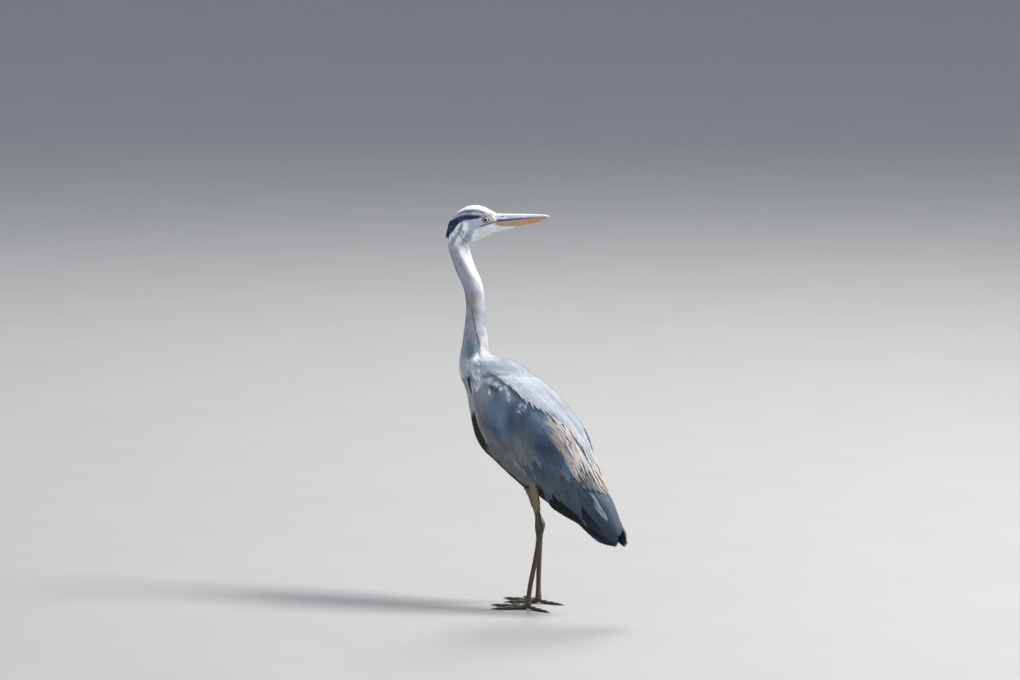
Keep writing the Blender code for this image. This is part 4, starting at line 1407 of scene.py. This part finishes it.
def build_tertials(side, seed):
    """Broad soft feathers over the primaries' bases, brown-grey, the uppermost with a pale fringe."""
    sign = SIDES[side]
    count = 9
    a, b, length = row_of(count, (258, 230), (80, 7), (96, 136))
    turn = mix(9, 1, np.linspace(0, 1, count)) * sign
    tract = Tract(plumage_point, a, b * sign, length, 21, turn, -2.0, -0.5, tilt=0.5 * sign)
    share = np.linspace(0, 1, count)[:, None]
    shade = mix(SLATE * 0.75, TAUPE * 0.55, share)
    tract.paint(shade * 0.7, shade, mix(shade * 1.25, BEIGE, share**8))
    feather_mesh(f"tertials_{side}", tract, COVERTS, "plumage_grey", rows=20, columns=7, blunt=0.7,
                 ragged=0.04, seed=seed + 9, unwrap=strips)


def build_scapulars(side, seed):
    """Long pointed plumes from the shoulder down over the wing's back, some made dark as painted shadow in
    the slits between them, and a line of dark strips as painted shadow beside the cape.
    """
    sign = SIDES[side]
    rng = np.random.default_rng(seed + 20)
    rows = []
    for a, low, high, count, length, width in (
        (304, 30, 44, 7, 44, 7),
        (286, 27, 50, 11, 56, 7),
        (268, 22, 54, 14, 66, 7.5),
        (250, 18, 54, 15, 76, 8),
        (232, 12, 54, 16, 84, 8),
        (214, 6, 52, 16, 86, 8.5),
        (198, 4, 46, 14, 74, 8.5),
    ):
        b = np.linspace(low, high, count) + rng.uniform(-1.6, 1.6, count)
        rows.append(np.stack([a + rng.uniform(-7, 7, count), b, np.full(count, length),
                              np.full(count, width)]))
    a, b, length, width = np.concatenate(rows, 1)
    count = len(a)
    length = length * rng.uniform(0.75, 1.15, count)
    length = length * (1 - 0.22 * before(a, 226, 10) * beyond(b, 12, 4))
    lift = 0.8 + rng.uniform(-0.6, 0.9, count)
    turn = (1 + 5 * rng.uniform(-1, 1, count)) * sign
    tract = Tract(plumage_point, a, b * sign, length, width, turn, -2 + lift, 0.2 + lift, 0.7,
                  sweep=rng.uniform(-5, 5, count))
    colour = mix(BEIGE, LAVENDER, rng.uniform(0, 0.7, (count, 1))) * 0.8
    brown = beyond(b, 34, 12) * beyond(a, 236, 30)
    colour = mix(colour, mix(TAUPE, BEIGE, rng.uniform(0, 0.7, (count, 1))) * 0.8, 0.8 * brown[:, None])
    # painted shadow: plumes made dark stand for shadowed slits, most in the gap beside the cape's edge and
    # in a few patches
    gap = 0.3 * ease(1.6 - np.abs(b - cape_edge(a - 30) + 1) / 2.5)
    shown = a - SHOWN_SHARE * length
    for at_a, at_b, size_a in ((168, 35, 16), (162, 46, 12), (141, 23, 14)):
        gap = np.maximum(gap, blob(shown, b, at_a, at_b, size_a, 4))
    dark = rng.uniform(0, 1, count) < (0.06 + 0.7 * gap) * (b > 12)
    colour = np.where(dark[:, None], SLATE * 0.55, colour) * (1 + 0.12 * rng.uniform(-1, 1, (count, 1)))
    dusky = ease((144 - (a - length)) / 10) * beyond(b, 12, 4) * before(b, 50, 4)
    tract.paint(colour * 0.7, blend(colour * 0.95, TAUPE * 0.7, 0.6 * dusky),
                blend(colour * 1.1, TAUPE * 0.5, dusky))
    feather_mesh(f"scapulars_{side}", tract, PLUMES, "plumage_grey", rows=16, columns=4, blunt=0.12,
                 ragged=0.1, seed=seed + 21, patch=0.012)
    # painted shadow: a line of dark strips under the cape's edge
    a = np.linspace(246, 172, 9)
    slit = Tract(plumage_point, a, (cape_edge(a - 14) + 2.2) * sign, 36, 4.2, 3 * sign, -0.5, 1.9)
    slit.paint(NAVY, NAVY, NAVY * 1.4)
    feather_mesh(f"cape_shadow_line_{side}", slit, PLUMES, "plumage_dark", rows=12, columns=3, blunt=0.1,
                 seed=seed + 22)


def tail_point(along, across, height):
    """A point over the tail: distance from the wing tips, mm to the left, and height.

    The tail is a shallow arch that hangs below the spine: drop = middle + arch (across / half)^2.
    """
    along, across, height = np.broadcast_arrays(along, across, height)
    y, z, pitch = np.moveaxis(through(SPINE_KNOTS, SPINE_ROWS[:, :3], along), -1, 0)
    share = np.clip((148 - along) / (148 - TAIL_TIP), 0, 1)
    drop = mix(*TAIL_DROP, share) + mix(*TAIL_ARCH, share) * (across / mix(*TAIL_HALF_WIDTH, share)) ** 2
    return off_spine(across, height - drop, y, z, pitch)


def build_tail():
    """Six pairs of feathers that lie under the wings' tips, the middle pair uppermost."""
    count = 12
    share = np.linspace(-1, 1, count)
    tip = TAIL_TIP + TAIL_STEP * share**2
    root = np.full(count, 146.0)
    high = -0.4 - 1.4 * np.abs(share)
    tract = Tract(tail_point, root, share * 12, root - tip, 11, -share * 0.9, high - 0.4, high)
    tract.paint(varied(NAVY, count, 51), varied(NAVY * 1.1, count, 52), SLATE * 0.8)
    feather_mesh("tail_feathers", tract, QUILLS, "plumage_dark", rows=18, columns=7, blunt=0.85,
                 seed=53, unwrap=strips)


def build_thigh_coat(side):
    """Soft feathers round the thigh, down to the bare skin."""
    point, length = thigh_point(side)
    seed = 61 if side == "left" else 62
    a, b = scatter(point, (0, length), (0, 360), (4.5, 3.4), seed)
    keep = ~inside_trunk(point(a, b, 0.0), 4)
    a, b = a[keep], b[keep]

    def marks(up, _):
        """The thigh's colour, the same all round."""
        return thigh_colour(up, length)

    small_coat(f"coat_thigh_{side}", point, (a, b), marks, (14, 5), seed, low=-1.5, high=0,
               blunt=0.35, slot="plumage_pale")


def inside_trunk(point, margin):
    """Whether points lie inside the trunk's sections."""
    along = np.linspace(120, 440, 161)
    rows = through(SPINE_KNOTS, SPINE_ROWS, along)
    axis = np.stack([rows[:, 0], rows[:, 1]], -1)
    gap = np.linalg.norm(point[:, None, 1:] - axis, axis=-1)
    near = gap.argmin(1)
    y, z, pitch, back, belly, side = rows[near].T
    pitch = np.radians(pitch)
    up = (point[:, 1] - y) * np.sin(pitch) + (point[:, 2] - z) * np.cos(pitch)
    depth = np.where(up > 0, back, belly) - margin
    return (up / depth) ** 2 + (point[:, 0] / (side - margin)) ** 2 < 1


def build_crest():
    """Narrow black plumes from the back of the crown down the nape."""
    path = through(np.linspace(0, 1, len(CREST)), CREST, np.linspace(0, 1, 60))
    steps = steps_along(path)
    total = steps[-1]

    def at(run):
        """Forward and up of the place that far along the path."""
        return np.stack([np.interp(run, steps, values) for values in path.T])

    def place(along, across, height):
        """A point of the plumes' sheet: backwards along its path, mm to the left, and height."""
        along, across, height = np.broadcast_arrays(along, across, height)
        run = np.clip(total - along, 0, total)
        forward, up = at(run)
        ahead, rise = at(run + 0.5) - at(run - 0.5)
        size = np.maximum(np.hypot(ahead, rise), 1e-6)
        return head_place(forward + height * rise / size, across, up - height * ahead / size)

    rng = np.random.default_rng(71)
    count = 180
    run = rng.uniform(0, 0.66, count)
    a = total * (1 - run)
    across = rng.uniform(-9, 9, count) * (1 - 0.75 * run)
    length = np.minimum(rng.uniform(14, 30, count), a - 0.5)
    tract = Tract(place, a, across, length, 3.0, -across * 1.5, -2.2, rng.uniform(-1.5, 1.6, count))
    tract.paint(varied(NAVY, count, 72), varied(BLACK, count, 73), NAVY * 1.4)
    feather_mesh("crest_plumes", tract, DOWN_FEATHERS, "plumage_dark", rows=8, columns=3, blunt=0.1,
                 seed=74)


# ---------------------------------------------------------------- bill, eyes and legs


def build_bill():
    """Two long mandibles: an arch over the mouth line and one under it.

    Each section is out = width cos, up = mouth + (edge - mouth) sin^0.85, less a groove from the
    nostril forward and a slit for the nostril itself.
    """
    share = np.linspace(0, 1, 120)[:, None]
    forward = HEAD_FRONT + GAP + BILL_LENGTH * share
    width, ridge, mouth, chin = bill_profile(forward)
    angle = np.linspace(0, math.pi, 41)[None, :]
    arch = np.sin(angle) ** 0.85
    side_on = np.abs(np.cos(angle)) - 0.80
    groove = np.exp(-((side_on / 0.06) ** 2)) * before(share, 0.62, 0.25) * 0.7
    nostril = np.exp(-(((share - 0.12) / 0.03) ** 2)) * np.exp(-((side_on / 0.05) ** 2)) * 1.1
    grain = 0.05 * np.sin(share * 240 + 3 * np.cos(angle * 3)) * np.sin(angle)
    for name, shut, edge in (("upper", mouth + GAP / 2, ridge), ("lower", mouth - GAP / 2, chin)):
        cut = (groove + nostril + grain) if name == "upper" else 0.5 * groove + grain
        rings = head_place(forward + 0 * angle, (width - cut) * np.cos(angle), mix(shut, edge, arch))
        level = np.broadcast_to(arch, rings.shape[:2])
        along = np.broadcast_to(share, rings.shape[:2])
        if name == "upper":
            flecks = ease(0.3 + patchy(along * 110, level * 30, 3.2, 83)) * before(along, 0.75, 0.3)
            colour = blend(BILL_SIDE, BILL_SIDE * 0.45, 0.6 * flecks * before(level, 0.7, 0.2))
            colour = blend(colour, NAVY * 2.2, ease((0.34 - 0.16 * along - level) / 0.1))
            colour = blend(colour, BILL_RIDGE, beyond(level, 0.72, 0.15))
            colour = blend(colour, BILL_TIP, beyond(along, 0.9, 0.1))
            colour = blend(colour, mix(WHITE, LORE, 0.4), before(along, 0.05, 0.05) * 0.8)
            colour = blend(colour, NAVY * 1.6, 0.8 * np.clip(nostril, 0, 1))
        else:
            colour = blend(BILL_TAN, BILL_ORANGE, beyond(along, 0.3, 0.4))
            colour = blend(colour, BILL_TAN * 0.7, before(level, 0.2, 0.2) * 0.5)
            colour = blend(colour, BILL_TIP, beyond(along, 0.93, 0.07) * 0.7)
            colour = blend(colour, WHITE * 0.9, 0.5 * ease((0.02 + 0.03 * level - along) / 0.03))
        uv = np.stack([np.broadcast_to(angle / math.pi, level.shape), along], -1)
        closed_tube(f"mandible_{name}", rings, HORN, f"bill_{name}_horn", colour,
                    [f"bill_{name}"], uv)


def jaw_point(back, angle, height):
    """A point of the lower mandible, -back ahead of the eyes and round from its underside.

    Across it is out = width sin, down = (lower edge - mouth line) cos^0.85.
    """
    back, angle, height = np.broadcast_arrays(back, np.radians(angle), height)
    width, _, mouth, chin = bill_profile(-back)
    level = np.clip(np.cos(angle), 0, 1) ** 0.85
    return head_place(-back, (width + height) * np.sin(angle), mix(mouth - GAP / 2, chin - height, level))


def build_chin_feathers():
    """Fine pale feathers under the lower mandible and in a wedge up its sides, all lying back."""

    def pale(back, _):
        """White, a little dulled."""
        return flat(WHITE * 0.94, back)

    for name, place, back, angles, spacing, size, heights, seed in (
        ("coat_chin", chin_point, (-60, -12), (-118, 118), (1.6, 1.1), (6, 1.7), (-0.7, 0.1), 81),
        ("coat_jaw", jaw_point, (-40, -17.5), (-86, 86), (1.5, 1.0), (5, 1.5), (-0.3, 0.3), 84),
    ):
        a, b = scatter(place, back, angles, spacing, seed)
        keep = (place is chin_point) | (np.abs(b) < line_at(JAW_WEDGE, -a))
        small_coat(name, place, (a[keep], b[keep]), pale, size, seed + 1, 180, *heights,
                   blunt=0.2, rows=4, slot="plumage_pale", clumps=(3, 8, 0.1), rough=0.08, thick=0.1)


def build_eye(side):
    """A glossy ball with a black pupil and a tan iris with a dark rim, and the lids round it."""
    sign = SIDES[side]
    middle = head_place(EYE_PLACE[0], np.array(sign * EYE_PLACE[1]), EYE_PLACE[2])
    forward, left, up = head_axes()
    look = left * sign * math.cos(0.14) + forward * math.sin(0.14)
    right = unit(np.cross(up, look))
    rise = np.cross(look, right)
    polar = np.linspace(0, math.pi, 41)[1:-1, None]
    turn = circle(56)[None]
    bulge = 1 + 0.05 * np.exp(-((polar / 0.45) ** 2))
    ball = EYE_RADIUS * bulge[..., None] * (
        np.cos(polar)[..., None] * look
        + (np.sin(polar) * np.cos(turn))[..., None] * right
        + (np.sin(polar) * np.sin(turn))[..., None] * rise
    )
    rings = middle + ball
    radius = np.broadcast_to(np.sin(polar) * EYE_RADIUS, rings.shape[:2])
    radius = np.where(np.broadcast_to(polar, radius.shape) > math.pi / 2, 9, radius)
    fleck = 1 + 0.12 * np.sin(turn * 17 + 3 * np.sin(turn * 5)) * np.ones_like(radius)
    iris = blend(srgb(206, 180, 140), srgb(150, 106, 74), beyond(radius, 4.0, 1.2))
    iris = iris * fleck[..., None]
    iris = blend(iris, srgb(66, 46, 38), beyond(radius, 5.2, 0.5))
    iris = blend(iris, srgb(92, 92, 98), beyond(radius, 6.1, 0.3))
    colour = blend(iris, (0.004, 0.004, 0.005), before(radius, 3.4, 0.3))
    closed_tube(f"eyeball_{side}", rings, EYE, "eye", colour, [f"eye_{side}"])
    build_lids(side, middle, look, right, rise)


def build_lids(side, middle, look, right, rise):
    """A fold of bare skin round the eye, drawn out a little in front and behind."""
    turn, round_it = circle(72)[:, None], circle(12)[None]
    corner = np.abs(np.cos(turn)) ** 6
    reach = 6.1 + 0.9 * corner - 0.35 * np.clip(np.sin(turn), 0, 1)
    thick = 0.75 - 0.15 * corner
    spread = reach + thick * np.cos(round_it)
    depth = np.sqrt(np.maximum(EYE_RADIUS**2 - reach**2, 4)) + 0.35 + 0.6 * np.sin(round_it)
    across, over = spread * np.cos(turn), spread * np.sin(turn) * 0.93
    points = middle + look * depth[..., None] + right * across[..., None] + rise * over[..., None]
    rows, around = points.shape[:2]
    quads = ring_faces(rows + 1, around)
    quads = np.where(quads >= rows * around, quads - rows * around, quads)
    outer = ease((np.cos(round_it) + 0.3) / 0.6) * np.ones_like(turn)
    colour = blend(srgb(52, 44, 42), srgb(104, 98, 100), outer)
    make_piece(f"lids_{side}", points, quads, [], LIDS, "plumage_pale", colour)


def build_lores(side):
    """The bare greenish skin between the eye and the bill, a thin pad over the skull."""
    sign = SIDES[side]
    t = np.linspace(0, 1, 26)[:, None]
    w = np.linspace(-1, 1, 9)[None, :]
    forward = mix(4.5, HEAD_FRONT + 1.5, t) + 0 * w
    half = mix(1.6, 4.2, t) * (1 - (2 * t - 1) ** 8 * 0.5)
    level = mix(-1.0, 0.8, t) + half * w
    top, middle, bottom, half_width = head_section(forward)
    depth = np.where(level > middle, top - middle, middle - bottom)
    out = half_width * np.sqrt(np.clip(1 - ((level - middle) / depth) ** 2, 0.05, 1))
    past = np.clip((forward - HEAD_FRONT) / BILL_LENGTH, 0, 1)
    out = out - past * BILL_LENGTH * 0.18
    top_side, under = (
        head_place(forward, (out + lift * np.ones_like(t)) * sign, level)
        for lift in (0.1 + 0.12 * (1 - w**2), -0.9 + 0 * w)
    )
    rings = np.concatenate([top_side, under[:, -2:0:-1]], 1)
    rows, around = rings.shape[:2]
    cap_quads, cap_triangles = cap_faces(rows, around)
    colour = blend(MAUVE * 0.75, LORE, beyond(t, 0.3, 0.3) * before(w, 0.3, 0.5))
    colour = blend(colour, CREAM, beyond(t, 0.75, 0.15) * beyond(w, -0.2, 0.4))
    colour = np.concatenate([colour, colour[:, -2:0:-1]], 1)
    quads = np.concatenate([ring_faces(rows, around), cap_quads])
    if sign < 0:
        quads, cap_triangles = quads[:, ::-1], cap_triangles[:, ::-1]
    make_piece(f"lores_{side}", rings, quads, cap_triangles, LIDS, "plumage_pale", colour)


def tube_frame(path):
    """Two directions across a path at each point, kept from twisting about X."""
    tangent = unit(np.gradient(path, axis=0))
    first = unit(np.cross(tangent, [1.0, 0, 0]))
    return first, np.cross(tangent, first)


def scaled_tube(name, path, radii, scale_length, stands_for, around=28, depth=0.32, floor=None):
    """A leg part: a tube whose skin is raised in rows of scales, wide plates along its front.

    Height over the tube = depth times the fourth root of |cos| along by |cos| round, so the
    grooves between scales are narrow.
    """
    steps = steps_along(path)
    count = max(int(steps[-1] / 0.9), 12)
    at = np.linspace(0, steps[-1], count)
    line = np.stack([np.interp(at, steps, path[:, k]) for k in range(3)], -1)
    radius = np.interp(at, steps, radii)[:, None]
    first, second = tube_frame(line)
    turn = circle(around)[None]
    plates = np.abs(np.cos(at[:, None] / scale_length * math.pi)) ** 0.25
    small = np.abs(np.cos(at[:, None] / (scale_length * 0.5) * math.pi + turn * 3)) ** 0.3
    small = small * np.abs(np.sin(turn * 5)) ** 0.25
    front = ease((np.abs(wrap(np.degrees(turn))) - 120) / 25)
    relief = mix(small, plates, front)
    skin = radius + depth * (relief - 0.8)
    points = line[:, None] + first[:, None] * (skin * np.cos(turn))[..., None]
    points = points + second[:, None] * (skin * np.sin(turn))[..., None]
    if floor is not None:
        points[..., 2] = np.maximum(points[..., 2], floor)
    shade = np.clip(relief, 0, 1)
    colour = blend(srgb(24, 22, 19), srgb(58, 50, 36), shade)
    uv = np.stack([np.broadcast_to(turn / (2 * math.pi), shade.shape),
                   np.broadcast_to(at[:, None] / 100, shade.shape)], -1)
    closed_tube(name, points, SCALES, "leg_scales", colour, stands_for, uv)


def build_leg(side):
    """The bare shank, the heel's knob and the tarsus, then the foot."""
    ankle, heel, bare_top, knee = leg_lines(side)
    lower_leg = unit(knee - heel)
    share = np.linspace(0, 1, 20)
    shank = mix(heel, bare_top + lower_leg * 6, share[:, None])
    swell = np.exp(-((share / 0.3) ** 2))
    radii = SHANK_RADIUS + (HEEL_RADIUS - SHANK_RADIUS) * swell
    scaled_tube(f"shank_skin_{side}", shank, radii, 4.5, [f"shank_{side}"])
    top = heel + lower_leg * HEEL_LENGTH * 0.45
    below = heel - np.array([0, 0, HEEL_LENGTH * 0.4])
    line = through([0, 7, 13, 150, 158], [top, heel, below, ankle + [0, 0, 3], ankle - [0, 0, 3]],
                   np.linspace(0, 158, 60))
    steps = steps_along(line)
    knob = np.exp(-(((steps - HEEL_LENGTH * 0.45) / (HEEL_LENGTH * 0.9)) ** 2))
    foot_end = np.exp(-(((steps - steps[-1]) / 12) ** 2))
    radii = TARSUS_RADIUS + (HEEL_RADIUS - TARSUS_RADIUS) * knob + 1.8 * foot_end
    scaled_tube(f"tarsus_skin_{side}", line, radii, 4.2, [f"tarsus_{side}"])
    build_foot(side, ankle)


def build_foot(side, ankle):
    """Four padded toes that taper from under the ankle and lie flat, each with its claw."""
    hub = np.array([ankle[0], ankle[1], 0])
    for name, (heading, length, radius) in TOES.items():
        turn = math.radians(heading * SIDES[side] - 90)
        ahead = np.array([math.cos(turn), math.sin(turn), 0])
        share = np.linspace(0, 1, 40)
        pads = 1 + 0.10 * np.cos(share * 2 * math.pi * 3)
        size = radius * (1 - 0.34 * share) * pads
        lift = 3.2 * (1 - share) ** 3
        path = hub + ahead * (length * share)[:, None]
        path[:, 2] = size - TOE_SINK + lift
        rounded = 1 - 0.36 * np.clip((share - 0.9) / 0.1, 0, 1) ** 2
        scaled_tube(f"toe_{name}_skin_{side}", path, size * rounded + 0.2, 2.8,
                    [f"foot_{side}"], around=20, depth=0.26, floor=0.0)
        build_claw(f"{name}_{side}", path[-1], ahead, size[-1])


def build_claw(name, toe_end, ahead, toe_radius):
    """A claw: a tapered horn that leaves the toe level and curves down, as share squared."""
    share = np.linspace(0, 1, 24)
    path = toe_end + ahead * ((CLAW_LENGTH + 2) * share - 2)[:, None]
    path[:, 2] -= (toe_end[2] - 0.7) * np.clip(share, 0, 1) ** 2
    first, second = tube_frame(path)
    radius = np.minimum(CLAW_RADIUS, toe_radius) * (1 - 0.9 * share**1.3)
    turn = circle(16)[None]
    across = first[:, None] * np.cos(turn)[..., None] + second[:, None] * np.sin(turn)[..., None]
    points = path[:, None] + across * radius[:, None, None]
    colour = flat(srgb(42, 36, 32), points[..., 0])
    closed_tube(f"claw_horn_{name}", points, CLAWS, "claw", colour, [f"claw_{name}"])


# ---------------------------------------------------------------- studio

CAMERA_HEADING = math.radians(33)  # round from the bird's left side towards its tail
CAMERA_RISE = math.radians(7.5)
CAMERA_DISTANCE = 9.0
FRAME_WIDTH = 2.0196  # of the view at the bird, in metres
BIRD_RIGHT_OF_MIDDLE = 0.0463  # how far the feet lie right of the view's middle
MIDDLE_HEIGHT = 0.5277  # how far the view's middle lies above the feet
SENSOR_WIDTH = 36
LIGHTS_AIM = 0.45  # height on the bird that the lights face
FLOOR_REACH = 60


def place_camera():
    """A long lens that looks level with the bird's left side, from a little behind and above."""
    heading, rise = CAMERA_HEADING, CAMERA_RISE
    level = np.array([math.cos(heading), math.sin(heading), 0])
    toward = level * math.cos(rise) + np.array([0, 0, math.sin(rise)])
    right = np.array([-math.sin(heading), math.cos(heading), 0])
    up = np.cross(toward, right)
    target = ORIGIN * MM - right * BIRD_RIGHT_OF_MIDDLE + up * MIDDLE_HEIGHT
    data = bpy.data.cameras.new("camera")
    data.sensor_width = SENSOR_WIDTH
    data.lens = SENSOR_WIDTH * CAMERA_DISTANCE / FRAME_WIDTH
    data.clip_end = 100
    camera = add_object("camera", data)
    camera.location = target + toward * CAMERA_DISTANCE
    camera.rotation_euler = (math.pi / 2 - rise, 0, math.atan2(right[1], right[0]))
    bpy.context.scene.camera = camera


def place_floor():
    """A flat studio floor under the feet."""
    mesh = bpy.data.meshes.new("floor")
    size = FLOOR_REACH
    mesh.from_pydata([(-size, -size, 0), (size, -size, 0), (size, size, 0), (-size, size, 0)], [],
                     [(0, 1, 2, 3)])
    mesh.materials.append(floor_material())
    floor = add_object("floor", mesh)


def add_area_light(name, place, size, power, colour):
    """A round lamp that faces the middle of the bird."""
    data = bpy.data.lights.new(name, "AREA")
    data.shape = "DISK"
    data.size = size
    data.energy = power
    data.color = colour
    lamp = add_object(name, data)
    lamp.location = place
    away = np.array(place) - np.array([0, 0, LIGHTS_AIM])
    level = math.hypot(away[0], away[1])
    lamp.rotation_euler = (math.atan2(level, away[2]), 0, math.atan2(away[1], away[0]) + math.pi / 2)


def light_studio():
    """A cool even sky, a warm key and a rim light from behind, and a soft fill by the camera."""
    world = bpy.data.worlds.new("studio")
    world.use_nodes = True
    sky = world.node_tree.nodes["Background"].inputs
    sky["Color"].default_value = (0.80, 0.87, 1.0, 1)
    sky["Strength"].default_value = 0.70
    bpy.context.scene.world = world
    add_area_light("key_behind", (-2.3, 5.0, 5.45), 2.2, 1260, (1.0, 0.965, 0.91))
    add_area_light("rim_behind", (-4.1, -2.3, 5.5), 2.2, 330, (1.0, 0.98, 0.95))
    add_area_light("camera_side", (6.5, 2.9, 3.2), 4.0, 130, (0.95, 0.97, 1.0))
    bpy.context.scene.view_settings.view_transform = "Standard"


def build_bird():
    """Every piece of the bird."""
    build_skin()
    build_neck_coat()
    build_head_coat()
    build_trunk_coat()
    for side in SIDES:
        build_wing_coat(side)
        build_thigh_coat(side)
        build_leg(side)
        build_eye(side)
        build_lores(side)
    build_tail()
    build_crest()
    build_bill()
    build_chin_feathers()


build_bird()
place_floor()
light_studio()
place_camera()
